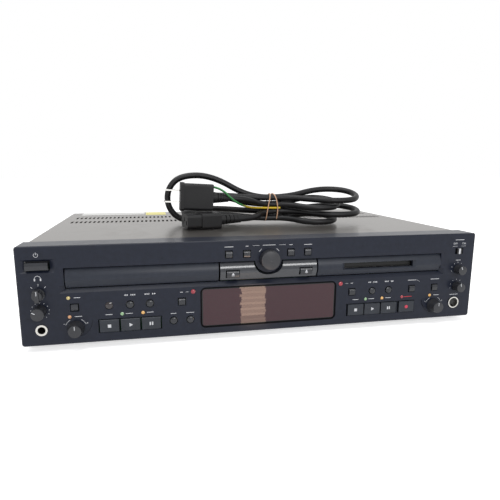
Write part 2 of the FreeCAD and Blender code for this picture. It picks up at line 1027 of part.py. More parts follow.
def md_flap():
    """The sprung flap that closes the slot, with a pin at each end of its hinge."""
    half = s.slot_width / 2
    low = BASE + s.slot_z - s.slot_height / 2
    hinge = BASE + s.slot_z + s.slot_height / 2 + s.flap_rise
    leaf = box(
        "flap_leaf",
        (s.slot_x - half + s.seam, s.flap_depth - s.flap_thick, low + s.seam),
        (s.slot_x + half - s.seam, s.flap_depth, hinge),
    )
    pin = rod(
        "flap_hinge",
        "x",
        (s.slot_x - half - 1.5, s.flap_depth, hinge),
        s.slot_width + 3,
        s.flap_pin,
    )
    node(join("md_flap", leaf, pin), "md_flap")


def display_window():
    """The tinted window, set a little into its opening."""
    gap = s.fit_gap
    corners = rounded(
        s.window_left + gap,
        BASE + s.window_low + gap,
        s.window_right - gap,
        BASE + s.window_high - gap,
        s.window_corner - gap,
    )
    window = pad(
        "display_window",
        "XZ_Plane",
        corners,
        s.window_thick,
        {side: s.window_corner - gap for side in (1, 3, 5, 7)},
        backwards=True,
    )
    node(window, "display_window", y=s.window_sunk)


def lamps():
    """Each lamp lens, from just before the panel back to the board, and the dark remote sensor lens."""
    lenses = []
    for name, (x, z, radius) in LAMPS.items():
        depth = s.board_place + s.lamp_proud
        crown = radius * 0.3
        lens = turned(
            name,
            [(0, -depth), (radius, crown - depth), (radius, 0), (0, 0)],
            {0: crown_radius(radius, crown)},
        )
        lenses.append(move(lens, x, s.board_place, BASE + z))
    node(group("lamp_lenses", *lenses), "lamp_lenses")


# Buttons


def crowned(name, width, height, proud, tail_end, flange, behind):
    """A button cap with an arched face, a straight stem and a flange behind what it passes through."""
    half = height / 2
    crown = s.button_crown
    step = behind + s.seam
    corners = [
        (tail_end, -half),
        (tail_end, half),
        (step + 1, half),
        (step + 1, half + flange),
        (step, half + flange),
        (step, half),
        (crown - proud, half),
        (crown - proud, -half),
        (step, -half),
        (step, -half - flange),
        (step + 1, -half - flange),
        (step + 1, -half),
    ]
    return pad(name, "YZ_Plane", corners, width, {6: crown_radius(half, crown)}, midplane=True)


def buttons():
    """Every push button, each in its own hole with its tail before its switch."""
    for name, (x, z) in SQUARES.items():
        size = s.square_size
        cap = crowned(name, size, size, s.button_proud, s.button_tail, s.button_flange, s.panel_face)
        node(cap, name, x, 0, BASE + z)
    for name, (x, z) in WIDES.items():
        proud = s.button_proud + s.belly_proud
        cap = crowned(
            name,
            s.wide_width,
            s.wide_height,
            proud,
            s.button_tail,
            s.button_flange,
            s.belly_root,
        )
        node(cap, name, x, 0, BASE + z)
    for name, (x, z) in ROUNDS.items():
        node(round_button(name), name, x, 0, BASE + z)
    for name, (x, z) in KEYS.items():
        node(key_cap(name), name, x, 0, BASE + z)


def round_button(name):
    """A domed round button with a flange behind the panel."""
    step = s.panel_face + s.seam
    corners = [
        (0, -s.button_proud),
        (s.round_radius, s.button_crown - s.button_proud),
        (s.round_radius, step),
        (s.round_radius + s.button_flange, step),
        (s.round_radius + s.button_flange, step + 1),
        (s.round_radius, step + 1),
        (s.round_radius, s.button_tail),
        (0, s.button_tail),
    ]
    return turned(name, corners, {0: crown_radius(s.round_radius, s.button_crown)})


def key_cap(name):
    """A flat transport key with a bevel round its face's long edges."""
    half = s.key_height / 2
    step = s.panel_face + s.seam
    corners = [
        (s.button_tail, -half),
        (s.button_tail, half),
        (step + 1, half),
        (step + 1, half + s.button_flange),
        (step, half + s.button_flange),
        (step, half),
        (s.key_bevel - s.key_proud, half),
        (-s.key_proud, half - s.key_bevel),
        (-s.key_proud, s.key_bevel - half),
        (s.key_bevel - s.key_proud, -half),
        (step, -half),
        (step, -half - s.button_flange),
        (step + 1, -half - s.button_flange),
        (step + 1, -half),
    ]
    return pad(name, "YZ_Plane", corners, s.key_width, midplane=True)


def power_button():
    """The power key, with a long stem back to its switch."""
    flange = s.power_ring + s.post_flange
    cap = crowned(
        "power_button",
        s.power_width,
        s.power_height,
        s.power_proud,
        s.button_tail,
        flange,
        s.panel_face,
    )
    node(cap, "power_button", LEFT_COLUMN, 0, BASE + s.power_z)


# Knobs


def knob_outline(radius, nose, length, crown):
    """The outline of a knob: skirt, taper, crowned face, and a blind bore from the back."""
    bore = s.shaft_radius + s.running_gap
    roof = -length + s.bore_wall + crown
    return [
        (0, -length),
        (nose, crown - length),
        (radius, 0),
        (bore, 0),
        (bore, roof),
        (0, roof),
    ], {0: crown_radius(nose, crown)}


KNOB_PLACES = {
    "jog_dial": (
        s.dial_x,
        s.dial_z,
        s.dial_radius,
        s.dial_radius - s.level_taper,
        s.dial_length,
        s.dial_crown,
    ),
    "cd_pitch_knob": (
        s.cd_pitch_x,
        s.pitch_z,
        s.pitch_radius,
        s.pitch_nose,
        s.pitch_length,
        s.level_taper,
    ),
    "md_pitch_knob": (
        s.md_pitch_x,
        s.pitch_z,
        s.pitch_radius,
        s.pitch_nose,
        s.pitch_length,
        s.level_taper,
    ),
    "phones_level_knob": (
        LEFT_COLUMN,
        s.level_z,
        s.level_radius,
        s.level_radius - s.level_taper,
        s.level_length,
        s.level_taper,
    ),
    "input_left_knob": (
        RIGHT_COLUMN,
        s.input_left_z,
        s.input_radius,
        s.input_radius - s.level_taper,
        s.input_length,
        s.level_taper,
    ),
    "input_right_knob": (
        RIGHT_COLUMN,
        s.input_right_z,
        s.input_radius,
        s.input_radius - s.level_taper,
        s.input_length,
        s.level_taper,
    ),
}


def knobs():
    """The turned knobs, and the source selector with its bar."""
    for name, (x, z, radius, nose, length, crown) in KNOB_PLACES.items():
        corners, bulges = knob_outline(radius, nose, length, crown)
        node(turned(name, corners, bulges), name, x, -s.knob_gap, BASE + z)
    source_knob()


def source_knob():
    """A round base with a straight bar across it."""
    base = rod("source_base_disc", "y", (0, -s.source_base, 0), s.source_base, s.source_radius)
    bar = box(
        "source_bar_block",
        (-s.source_bar / 2, -s.source_length, -s.source_radius),
        (s.source_bar / 2, -s.source_base / 2, s.source_radius),
    )
    hub = rod(
        "source_hub",
        "y",
        (0, -s.source_length + 1, 0),
        s.source_length - 1,
        s.shaft_radius + s.running_gap + 1,
    )
    round_bar = overlap(
        "source_bar_round",
        bar,
        rod("source_round", "y", (0, -s.source_length, 0), s.source_length, s.source_radius),
    )
    depth = s.source_length - s.bore_wall - s.running_gap
    bore = rod("source_bore", "y", (0, -depth, 0), depth + 1, s.shaft_radius + s.running_gap)
    knob = cut("source_bored", join("source_solid", base, round_bar, hub), bore)
    node(knob, "phones_source_knob", LEFT_COLUMN, -s.knob_gap, BASE + s.source_z)


def push_shafts():
    """Encoder shafts that turn with nothing but slide in when their knobs are pushed."""
    for name, (x, z, length) in PUSH_SHAFTS.items():
        front = s.knob_gap + length - s.bore_wall - s.dial_crown - s.running_gap
        shaft = rod(name, "y", (0, 0, 0), front + s.button_tail, s.shaft_radius)
        node(shaft, name, x, -front, BASE + z)


def slide_switch():
    """The little slider of the play mode switch."""
    half = s.switch_width / 2
    cap = box(
        "cont_play_slider",
        (0, 0, 0),
        (s.switch_width, s.button_proud + s.button_tail - 2, s.switch_height),
    )
    node(
        cap,
        "cont_play_slider",
        RIGHT_COLUMN - half,
        -s.button_proud,
        BASE + s.switch_z - s.switch_height / 2,
    )


def front_sockets():
    """The phones jack with its bored sleeve, and the round keyboard socket."""
    z = BASE + s.jack_z
    nose = rod("jack_sleeve", "y", (LEFT_COLUMN, -1, z), s.panel_face + 1 + s.seam, s.jack_nose)
    body = box(
        "jack_block",
        (LEFT_COLUMN - s.jack_body, s.panel_face + s.seam, z - s.jack_body),
        (LEFT_COLUMN + s.jack_body, s.jack_length, z + s.jack_body),
    )
    bore = rod("jack_bore", "y", (LEFT_COLUMN, -2, z), s.jack_length, s.jack_bore)
    jack = cut("phones_jack", join("jack_solid", nose, body), bore)
    x, z = SOCKET_X, BASE + s.socket_z
    ring = cut(
        "socket_ring",
        rod("socket_rim", "y", (x, -1, z), s.board_place + 1, s.socket_radius),
        rod("socket_mouth", "y", (x, -2, z), s.board_place - 1, s.socket_bore),
    )
    pin_ring = s.socket_bore * 0.6
    core = rod("socket_core", "y", (x, 1.5, z), s.board_place - 2.5, s.socket_bore - s.seam)
    holes = [
        rod(
            f"socket_pin_{number}",
            "y",
            (
                x + pin_ring * math.cos(math.radians(angle)),
                1,
                z + pin_ring * math.sin(math.radians(angle)),
            ),
            4,
            0.5,
        )
        for number, angle in enumerate((20, 60, 120, 160, 215, 325))
    ]
    key = box("socket_key", (x - 1, 1, z - s.socket_bore + s.seam), (x + 1, 5, z - s.socket_bore + 2))
    socket = join("keyboard_socket", ring, cut("socket_insert", core, *holes, key))
    node(group("front_sockets", jack, socket), "front_sockets")


# Cover, chassis and what they carry


def top_cover():
    """The bent cover: a roof with two groups of vents and two sides."""
    half = COVER_HALF
    top = BASE + s.cover_top
    sheet = s.sheet_metal
    corners = [
        (-half, FLOOR),
        (sheet - half, FLOOR),
        (sheet - half, top - sheet),
        (half - sheet, top - sheet),
        (half - sheet, FLOOR),
        (half, FLOOR),
        (half, top),
        (-half, top),
    ]
    roof = pad(
        "cover_sheet",
        "XZ_Plane",
        corners,
        s.body_depth - s.panel_depth - s.seam,
        backwards=True,
    )
    move(roof, 0, s.panel_depth + s.seam, 0)
    cutters = []
    count = int(SIZES["vent_count"])
    for side in (-1, 1):
        for row, middle in (("front", s.vent_front_row), ("rear", s.vent_rear_row)):
            for number in range(count):
                x = side * (s.vent_outer - number * s.vent_pitch)
                cutters.append(
                    box(
                        f"vent_{row}_{number}_{'left' if side < 0 else 'right'}",
                        (x - s.vent_width / 2, middle - s.vent_length / 2, top - 2 * sheet),
                        (x + s.vent_width / 2, middle + s.vent_length / 2, top + 1),
                    )
                )
    for side in (-1, 1):
        for number in range(3):
            y = s.screw_first + number * s.screw_pitch
            cutters.append(
                rod(
                    f"cover_hole_{side + 1}_{number}",
                    "x",
                    (side * half - 2, y, BASE + s.screw_height),
                    4,
                    s.screw_radius + s.fit_gap,
                )
            )
    node(cut("top_cover", roof, *cutters), "top_cover")


def chassis():
    """The bent pan: floor, side flanges, front frame and the rear wall with its socket holes."""
    sheet = s.sheet_metal
    half = COVER_HALF - sheet - s.seam
    front = s.panel_depth + s.seam
    rear = s.body_depth - sheet
    top = BASE + s.cover_top - sheet - s.seam
    flange_top = BASE + s.screw_height + 4 * s.screw_radius
    floor = box("chassis_floor", (-half, front, BASE), (half, rear, FLOOR))
    sides = [
        box("chassis_left", (-half, front, BASE), (sheet - half, s.body_depth, flange_top)),
        box("chassis_right", (half - sheet, front, BASE), (half, s.body_depth, flange_top)),
    ]
    frame = cut(
        "chassis_frame",
        box("frame_plate", (-half, front, BASE), (half, front + sheet, top)),
        box(
            "frame_window",
            (s.frame_side - COVER_HALF, front - 1, BASE + 7),
            (COVER_HALF - s.frame_side, front + sheet + 1, BASE + s.loader_top + 3),
        ),
    )
    wall = box("rear_wall", (-half, rear, BASE), (half, s.body_depth, top))
    pan = join("chassis_pan", floor, *sides, frame, wall)
    holes = []
    for name, x, z in phono_places():
        holes.append(
            rod(name + "_hole", "y", (x, rear - 1, BASE + z), sheet + 2, s.phono_radius + s.fit_gap)
        )
    gap = s.fit_gap
    holes.append(
        rear_hole(
            "inlet_hole",
            s.inlet_x,
            s.inlet_z,
            s.inlet_width / 2 + gap,
            s.inlet_height / 2 + gap,
            rear,
        )
    )
    holes.append(
        rear_hole(
            "port_hole",
            s.port_x,
            s.port_z,
            s.port_width / 2 + gap,
            s.port_height / 2 + gap,
            rear,
        )
    )
    for side in (-1, 1):
        for number in range(3):
            y = s.screw_first + number * s.screw_pitch
            holes.append(
                rod(
                    f"chassis_hole_{side + 1}_{number}",
                    "x",
                    (side * half - 2, y, BASE + s.screw_height),
                    4,
                    s.screw_radius + s.running_gap,
                )
            )
    for name, x, y in foot_places():
        holes.append(
            rod(name + "_screw_hole", "z", (x, y, BASE - 1), sheet + 2, s.screw_radius + s.running_gap)
        )
    node(cut("chassis", pan, *holes), "chassis")


def rear_hole(name, x, z, half_width, half_height, rear):
    """A rectangular hole in the rear wall."""
    return box(
        name,
        (x - half_width, rear - 1, BASE + z - half_height),
        (x + half_width, s.body_depth + 1, BASE + z + half_height),
    )


def phono_places():
    """Two rows of four phono sockets."""
    return [
        (
            f"phono_{column}_{row}",
            s.phono_left + column * s.phono_pitch,
            s.phono_low + row * s.phono_rise,
        )
        for column in range(4)
        for row in range(2)
    ]


def foot_places():
    """The four feet."""
    return [
        (f"foot_{place}_{'left' if side < 0 else 'right'}", side * s.foot_side, y)
        for side in (-1, 1)
        for place, y in (("front", s.foot_front), ("rear", s.foot_rear))
    ]


def feet():
    """Four tapered feet, each bored for its screw."""
    pads = []
    for name, x, y in foot_places():
        cone = rod(name, "z", (x, y, 0), s.foot_height, s.foot_radius - s.foot_taper, s.foot_radius)
        sink = rod(
            name + "_sink",
            "z",
            (x, y, -1),
            s.foot_height - s.screw_cap + 1,
            s.screw_head + s.fit_gap,
        )
        hole = rod(name + "_bore", "z", (x, y, -1), s.foot_height + 2, s.screw_radius + s.running_gap)
        pads.append(cut(name + "_bored", cone, sink, hole))
    node(group("feet", *pads), "feet")


def screws():
    """Cover screws on both sides and one screw in each foot."""
    parts = []
    half = COVER_HALF
    for side in (-1, 1):
        for number in range(3):
            y = s.screw_first + number * s.screw_pitch
            z = BASE + s.screw_height
            name = f"cover_screw_{'left' if side < 0 else 'right'}_{number}"
            outer = side * (half + s.screw_cap)
            inner = side * (half - 3 * s.sheet_metal - s.seam)
            shank_start = inner if side > 0 else side * half
            head_start = side * half if side > 0 else outer
            shank = rod(
                name + "_shank",
                "x",
                (shank_start, y, z),
                3 * s.sheet_metal + s.seam,
                s.screw_radius,
            )
            head = rod(name + "_head", "x", (head_start, y, z), s.screw_cap, s.screw_head)
            mark = s.screw_radius * 0.35
            slot_x = outer - side * s.screw_cap / 2
            edges = (slot_x, outer + side) if side > 0 else (outer + side, slot_x)
            cross = [
                box(
                    name + "_slot_y",
                    (edges[0], y - s.screw_radius, z - mark),
                    (edges[1], y + s.screw_radius, z + mark),
                ),
                box(
                    name + "_slot_z",
                    (edges[0], y - mark, z - s.screw_radius),
                    (edges[1], y + mark, z + s.screw_radius),
                ),
            ]
            parts.append(cut(name, join(name + "_solid", shank, head), *cross))
    for name, x, y in foot_places():
        z = s.foot_height - s.screw_cap
        head = rod(name + "_screw_head", "z", (x, y, z - s.screw_cap), s.screw_cap, s.screw_head)
        shank = rod(
            name + "_screw_shank",
            "z",
            (x, y, z),
            s.screw_cap + 2 * s.sheet_metal,
            s.screw_radius,
        )
        parts.append(join(name + "_screw", head, shank))
    node(group("screws", *parts), "screws")


def rear_sockets():
    """Phono sockets, the mains inlet with its three pins, and the multi-pin port."""
    parts = []
    rear = s.body_depth
    inner = rear - s.sheet_metal
    for name, x, z in phono_places():
        barrel = rod(
            name,
            "y",
            (x, inner - s.board_place, BASE + z),
            s.board_place + s.sheet_metal + s.socket_reach,
            s.phono_radius,
        )
        block = box(
            name + "_block",
            (x - s.phono_flange, inner - s.board_place, BASE + z - s.phono_flange),
            (x + s.phono_flange, inner - s.seam, BASE + z + s.phono_flange),
        )
        hole = rod(
            name + "_mouth",
            "y",
            (x, inner - s.seam, BASE + z),
            s.sheet_metal + s.socket_reach + 1,
            s.phono_radius * 0.42,
        )
        parts.append(cut(name + "_socket", join(name + "_solid", barrel, block), hole))
    parts.append(mains_inlet(rear))
    parts.append(port(rear))
    node(group("rear_sockets", *parts), "rear_sockets")


def mains_inlet(rear):
    """The appliance inlet: a deep mouth with three flat pins."""
    x, z = s.inlet_x, BASE + s.inlet_z
    half_width, half_height = s.inlet_width / 2, s.inlet_height / 2
    shell = box(
        "inlet_shell",
        (x - half_width, rear - s.inlet_body, z - half_height),
        (x + half_width, rear + 1, z + half_height),
    )
    rim = box(
        "inlet_rim",
        (x - half_width - 1.5, rear + s.fit_gap, z - half_height - 1.5),
        (x + half_width + 1.5, rear + 2, z + half_height + 1.5),
    )
    mouth_x, mouth_z = s.inlet_mouth_width / 2, s.inlet_mouth_height / 2
    mouth = box(
        "inlet_mouth",
        (x - mouth_x, rear + 2 - s.inlet_deep, z - mouth_z),
        (x + mouth_x, rear + 3, z + mouth_z),
    )
    pins = [
        box(
            f"inlet_pin_{number}",
            (x + shift - 1, rear + 1 - s.inlet_deep, z + lift - 2),
            (x + shift + 1, rear - 3, z + lift + 2),
        )
        for number, (shift, lift) in enumerate(((-7, -2), (0, 2), (7, -2)))
    ]
    return join("inlet", cut("inlet_body", join("inlet_solid", shell, rim), mouth), *pins)


def port(rear):
    """The multi-pin port: a metal shell round a block with two rows of holes."""
    x, z = s.port_x, BASE + s.port_z
    half_width, half_height = s.port_width / 2, s.port_height / 2
    body = box(
        "port_body",
        (x - half_width, rear - s.board_place, z - half_height),
        (x + half_width, rear + 2, z + half_height),
    )
    lip = box("port_lip", (x - 13, rear + 1, z - 4.2), (x + 13, rear + 6, z + 4.2))
    holes = [
        rod(
            f"port_hole_{number}_{row}",
            "y",
            (x + (number - 3.5 + row / 2) * 2.8, rear + 2, z + 1.4 - 2.8 * row),
            5,
            0.6,
        )
        for row in range(2)
        for number in range(8 - row)
    ]
    return cut("port", join("port_solid", body, lip), *holes)


def circuit_boards():
    """The comb-shaped front board with its switches and controls, and the main board with its parts."""
    front = s.board_place
    back = front + s.board_thick
    regions = [
        ((-BOARD_REACH, s.board_low), (BOARD_REACH, s.board_top)),
        ((-BOARD_REACH, s.board_low), (-BOARD_REACH + 28, s.panel_height - 12)),
        ((RIGHT_COLUMN - 15, s.board_low), (BOARD_REACH, s.panel_height - 10)),
        ((TRIM_LEFT + 3, s.board_low), (TRIM_RIGHT - 3, s.panel_height - 5)),
    ]
    plates = [
        box(f"board_{number}", (low[0], front, BASE + low[1]), (high[0], back, BASE + high[1]))
        for number, (low, high) in enumerate(regions)
    ]
    switches = []
    for name, (x, z) in {**SQUARES, **ROUNDS, **WIDES, **KEYS}.items():
        switches.append(
            box(
                name + "_switch",
                (x - 3, s.button_tail + s.button_rest_gap, BASE + z - 3),
                (x + 3, front + 0.5, BASE + z + 3),
            )
        )
    x, z = LEFT_COLUMN, BASE + s.power_z
    switches.append(
        box(
            "power_switch",
            (x - 6, s.button_tail + s.power_travel + s.seam, z - 4),
            (x + 6, s.panel_depth, z + 4),
        )
    )
    for name, (x, z, length) in FIXED_SHAFTS.items():
        nose = s.knob_gap + length - s.bore_wall - s.level_taper - s.seam
        pot = box(name + "_pot", (x - 5, front - 5, BASE + z - 5), (x + 5, front + 0.5, BASE + z + 5))
        shaft = rod(name + "_shaft", "y", (x, -nose, BASE + z), nose + front, s.shaft_radius)
        switches += [pot, shaft]
    for name, (x, z, length) in PUSH_SHAFTS.items():
        block = box(name + "_block", (x - 6, front - 6, BASE + z - 6), (x + 6, front + 4, BASE + z + 6))
        bore = rod(name + "_sleeve", "y", (x, front - 7, BASE + z), 9, s.shaft_radius + s.running_gap)
        switches.append(cut(name + "_encoder", block, bore))
    x, z = RIGHT_COLUMN, BASE + s.switch_z
    switches.append(
        box("slide_body", (x - 6, s.button_tail - 2 + s.seam, z - 3), (x + 6, front + 0.5, z + 3))
    )
    glass = box(
        "display_tube",
        (s.window_left + 6, s.window_sunk + s.window_thick + 1, BASE + s.window_low + 4),
        (s.window_right - 6, front + 0.5, BASE + s.window_high - 4),
    )
    jack = box(
        "jack_clearance",
        (LEFT_COLUMN - s.jack_body - 1, front - 1, BASE + s.jack_z - s.jack_body - 1),
        (LEFT_COLUMN + s.jack_body + 1, back + 1, BASE + s.jack_z + s.jack_body + 1),
    )
    shafts = [
        rod(name + "_way", "y", (x, s.button_tail - 2, BASE + z), 7, s.shaft_radius + s.running_gap)
        for name, (x, z, length) in PUSH_SHAFTS.items()
    ]
    comb = cut("front_board", join("board_solid", *plates, *switches, glass), jack, *shafts)
    node(group("circuit_boards", comb, main_board()), "circuit_boards")


def main_board():
    """The main board on four spacers, with chips, capacitors and connectors."""
    low = FLOOR + s.main_board_rise
    high = low + s.board_thick
    left, right = s.main_board_left, COVER_HALF - s.main_board_inset
    front, rear = s.main_board_front, s.main_board_rear
    parts = [box("main_plate", (left, front, low), (right, rear, high))]
    edge = s.board_edge
    spots = [(x, y) for y in (front + edge, rear - edge) for x in (left + edge, right - edge)]
    for number, (x, y) in enumerate(spots):
        parts.append(rod(f"spacer_{number}", "z", (x, y, FLOOR), s.main_board_rise, 3))
    for number in range(4):
        x = left + s.chip_first + number * s.chip_pitch
        y = front + s.chip_first
        parts.append(
            box(f"chip_{number}", (x, y, high - 0.2), (x + s.chip_size, y + s.chip_size, high + 2))
        )
        parts.append(
            rod(
                f"capacitor_{number}",
                "z",
                (x, rear - s.capacitor_place, high - 0.2),
                s.capacitor_high,
                s.capacitor_radius,
            )
        )
    x, y = left + s.header_place, front + edge
    parts.append(
        box("board_header", (x, y, high - 0.2), (x + s.header_length, y + s.header_depth, high + 8))
    )
    return join("main_board", *parts)


def power_transformer():
    """A laminated core with its winding and a mounting foot."""
    left, rear = s.core_left, s.core_rear
    right, front = left + s.core_width, rear - s.core_depth
    core = box("core", (left, front + 10, FLOOR), (right, rear - 10, FLOOR + s.core_high))
    coil = box("coil", (left + 11, front, FLOOR + 9), (right - 11, rear, FLOOR + s.core_high - 9))
    foot = box("core_foot", (left - 9, front + 12, FLOOR), (right + 9, rear - 12, FLOOR + 2))
    node(join("power_transformer", core, coil, foot), "power_transformer")


# Disc drawer


def tray_front():
    """The drawer's front, with the same profile as the rest of the band."""
    node(belly("tray_front", TRAY_LEFT, s.tray_front_width), "tray_front", x=TRAY_LEFT)


def cd_tray():
    """The drawer: a plate with the disc's recess, a window for the pickup and a toothed rack."""
    half = s.tray_width / 2
    low = BASE + s.tray_low
    high = low + s.tray_thick
    front = s.belly_root
    plate = box(
        "tray_plate",
        (TRAY_MIDDLE - half, front + s.fit_gap, low),
        (TRAY_MIDDLE + half, front + s.tray_length, high),
    )
    neck = box(
        "tray_neck",
        (TRAY_MIDDLE - half + 4, front + s.fit_gap, low),
        (TRAY_MIDDLE + half - 4, front + 2, high + 3),
    )
    disc_y = s.disc_place
    recess = rod(
        "disc_recess_cut",
        "z",
        (TRAY_MIDDLE, disc_y, high - s.disc_recess),
        s.disc_recess + 5,
        s.disc_radius,
    )
    inner = rod(
        "small_disc_cut",
        "z",
        (TRAY_MIDDLE, disc_y, high - 2 * s.disc_recess),
        9,
        s.disc_radius * 2 / 3,
    )
    spindle = rod(
        "spindle_hole",
        "z",
        (TRAY_MIDDLE, disc_y, low - 1),
        s.tray_thick + 2,
        s.turntable_radius + 3,
    )
    window = box(
        "pickup_window",
        (TRAY_MIDDLE - s.tray_window / 2, disc_y, low - 1),
        (TRAY_MIDDLE + s.tray_window / 2, disc_y + s.disc_radius + 6, high + 1),
    )
    body = cut("tray_body", join("tray_solid", plate, neck), recess, inner, spindle, window)
    node(join("cd_tray", body, rack()), "cd_tray")


def rack():
    """A straight rack under the tray, with its teeth towards the gear."""
    pitch = s.gear_module * math.pi
    low = BASE + s.tray_low - s.gear_high
    back = TRAY_MIDDLE + s.rack_place
    line = back + s.rack_width
    start = s.gear_place - pitch.value * 3
    count = int(SIZES["tray_travel"] / pitch.value) + 6
    parts = [
        box(
            "rack_bar",
            (back, start - 2, low),
            (line - 1.25 * s.gear_module, start + count * pitch + 2, low + s.gear_high + 0.5),
        )
    ]
    root, tip = s.gear_module * 0.72, s.gear_module * 0.28
    corners = [
        (-1.5 * s.gear_module, -root),
        (1 * s.gear_module, -tip),
        (1 * s.gear_module, tip),
        (-1.5 * s.gear_module, root),
    ]
    for number in range(count):
        tooth = pad(f"rack_tooth_{number}", "XY_Plane", corners, s.gear_high + 0.5)
        parts.append(move(tooth, line, start + (number + 0.5) * pitch, low))
    return join("tray_rack", *parts)


def tray_gear():
    """The pinion that drives the rack, on an upright pin of the loader."""
    teeth = int(SIZES["gear_teeth"])
    pitch_radius = s.gear_module * teeth / 2
    hub = rod("gear_disc", "z", (0, 0, 0), s.gear_high, pitch_radius - 1.25 * s.gear_module)
    root, tip = s.gear_module * 0.72, s.gear_module * 0.28
    corners = [
        (pitch_radius - 1.5 * s.gear_module, -root),
        (pitch_radius + 0.9 * s.gear_module, -tip),
        (pitch_radius + 0.9 * s.gear_module, tip),
        (pitch_radius - 1.5 * s.gear_module, root),
    ]
    parts = [hub]
    for number in range(teeth):
        tooth = pad(f"gear_tooth_{number}", "XY_Plane", corners, s.gear_high)
        tooth.Placement.Rotation = FreeCAD.Rotation(Z_DIR, 360 * number / teeth)
        parts.append(tooth)
    bore = rod("gear_bore", "z", (0, 0, -1), s.gear_high + 2, s.rail_radius + s.running_gap)
    gear = cut("gear_bored", join("gear_solid", *parts), bore)
    x = TRAY_MIDDLE + s.rack_place + s.rack_width + pitch_radius
    node(gear, "tray_gear", x, s.gear_place, BASE + s.tray_low - s.gear_high)


def cd_loader_frame():
    """The loader: two walls with lips that guide the drawer, a deck plate on legs, and the clamp bridge."""
    half = s.tray_width / 2 + s.guide_gap
    front = s.loader_front
    rear = front + s.loader_length
    low, high = BASE + s.loader_floor, BASE + s.loader_top
    tray_low, tray_high = BASE + s.tray_low, BASE + s.tray_low + s.tray_thick
    outer = half + s.guide_wall
    parts = [
        box(
            "loader_deck",
            (TRAY_MIDDLE - outer, front, low),
            (TRAY_MIDDLE + outer, rear, low + s.loader_plate),
        )
    ]
    for side, name in ((-1, "left"), (1, "right")):
        wall_x = sorted(
            (TRAY_MIDDLE + side * half, TRAY_MIDDLE + side * outer),
            key=lambda size: size.value,
        )
        lip_x = sorted(
            (TRAY_MIDDLE + side * (half - s.guide_lip), TRAY_MIDDLE + side * outer),
            key=lambda size: size.value,
        )
        parts.append(box(name + "_wall", (wall_x[0], front, low), (wall_x[1], rear, high)))
        parts.append(
            box(
                name + "_lip",
                (lip_x[0], front, tray_low - s.guide_gap - s.guide_lip / 2),
                (lip_x[1], rear, tray_low - s.guide_gap),
            )
        )
        parts.append(
            box(
                name + "_keeper",
                (lip_x[0], rear - s.loader_length * 0.4, tray_high + s.guide_gap),
                (lip_x[1], rear, tray_high + s.guide_gap + s.guide_lip / 2),
            )
        )
        for end, y in (("front", front), ("rear", rear - s.loader_leg)):
            x = TRAY_MIDDLE + side * (outer - s.loader_leg / 2) - s.loader_leg / 2
            parts.append(
                box(f"{name}_{end}_leg", (x, y, FLOOR), (x + s.loader_leg, y + s.loader_leg, low + 1))
            )
    disc_y = s.disc_place
    bridge_low = tray_high + s.guide_gap + s.guide_lip + s.clamp_gap
    parts.append(
        box(
            "bridge",
            (TRAY_MIDDLE - outer, disc_y - s.bridge_width / 2, high - s.loader_plate),
            (TRAY_MIDDLE + outer, disc_y + s.bridge_width / 2, high),
        )
    )
    parts.append(
        rod("clamp", "z", (TRAY_MIDDLE, disc_y, bridge_low), high - bridge_low - 1, s.clamp_radius)
    )
    parts.append(
        rod(
            "spindle_motor",
            "z",
            (TRAY_MIDDLE, disc_y, low),
            TURNTABLE_LOW - low - s.seam,
            s.motor_radius,
        )
    )
    gear_x = TRAY_MIDDLE + s.rack_place + s.rack_width + s.gear_module * SIZES["gear_teeth"] / 2
    gear_low = BASE + s.tray_low - s.gear_high
    parts.append(
        rod("gear_post", "z", (gear_x, s.gear_place, low), gear_low - low - s.seam, 2 * s.rail_radius)
    )
    parts.append(
        rod(
            "gear_pin",
            "z",
            (gear_x, s.gear_place, low),
            gear_low - low + s.gear_high - s.seam,
            s.rail_radius,
        )
    )
    for side in (-1, 1):
        x = TRAY_MIDDLE + side * s.rail_spread / 2
        z = low + s.loader_plate + s.pickup_high / 2 + 2
        start = disc_y + s.turntable_radius + 2
        length = s.pickup_length + s.pickup_travel + 6
        parts.append(rod(f"rail_{side + 1}", "y", (x, start, z), length, s.rail_radius))
        for end, y in (("near", start - 1), ("far", start + length - 3)):
            parts.append(box(f"rail_block_{side + 1}_{end}", (x - 3, y, low), (x + 3, y + 4, z + 3)))
    frame = join("loader_solid", *parts)
    bore = rod(
        "spindle_bore",
        "z",
        (TRAY_MIDDLE, disc_y, TURNTABLE_LOW - s.seam - 6),
        20,
        s.spindle_radius + s.running_gap,
    )
    cap = box(
        "clamp_shield",
        (TRAY_MIDDLE - 3, disc_y - 3, TURNTABLE_LOW + s.turntable_high + 1),
        (TRAY_MIDDLE + 3, disc_y + 3, TURNTABLE_LOW + 30),
    )
    node(cut("cd_loader_frame", frame, cut("spindle_way", bore, cap)), "cd_loader_frame")


TURNTABLE_LOW = BASE + s.tray_low - s.turntable_high - s.guide_gap


def cd_turntable():
    """The turntable with its spindle in the motor's bore."""
    low = TURNTABLE_LOW
    plate = rod("turntable_plate", "z", (0, 0, 0), s.turntable_high - 2, s.turntable_radius)
    boss = rod("turntable_boss", "z", (0, 0, 0), s.turntable_high, 7.3, 6.6)
    spindle = rod("spindle", "z", (0, 0, -5), 7, s.spindle_radius)
    table = join("turntable_solid", plate, boss, spindle)
    node(table, "cd_turntable", TRAY_MIDDLE, s.disc_place, low)


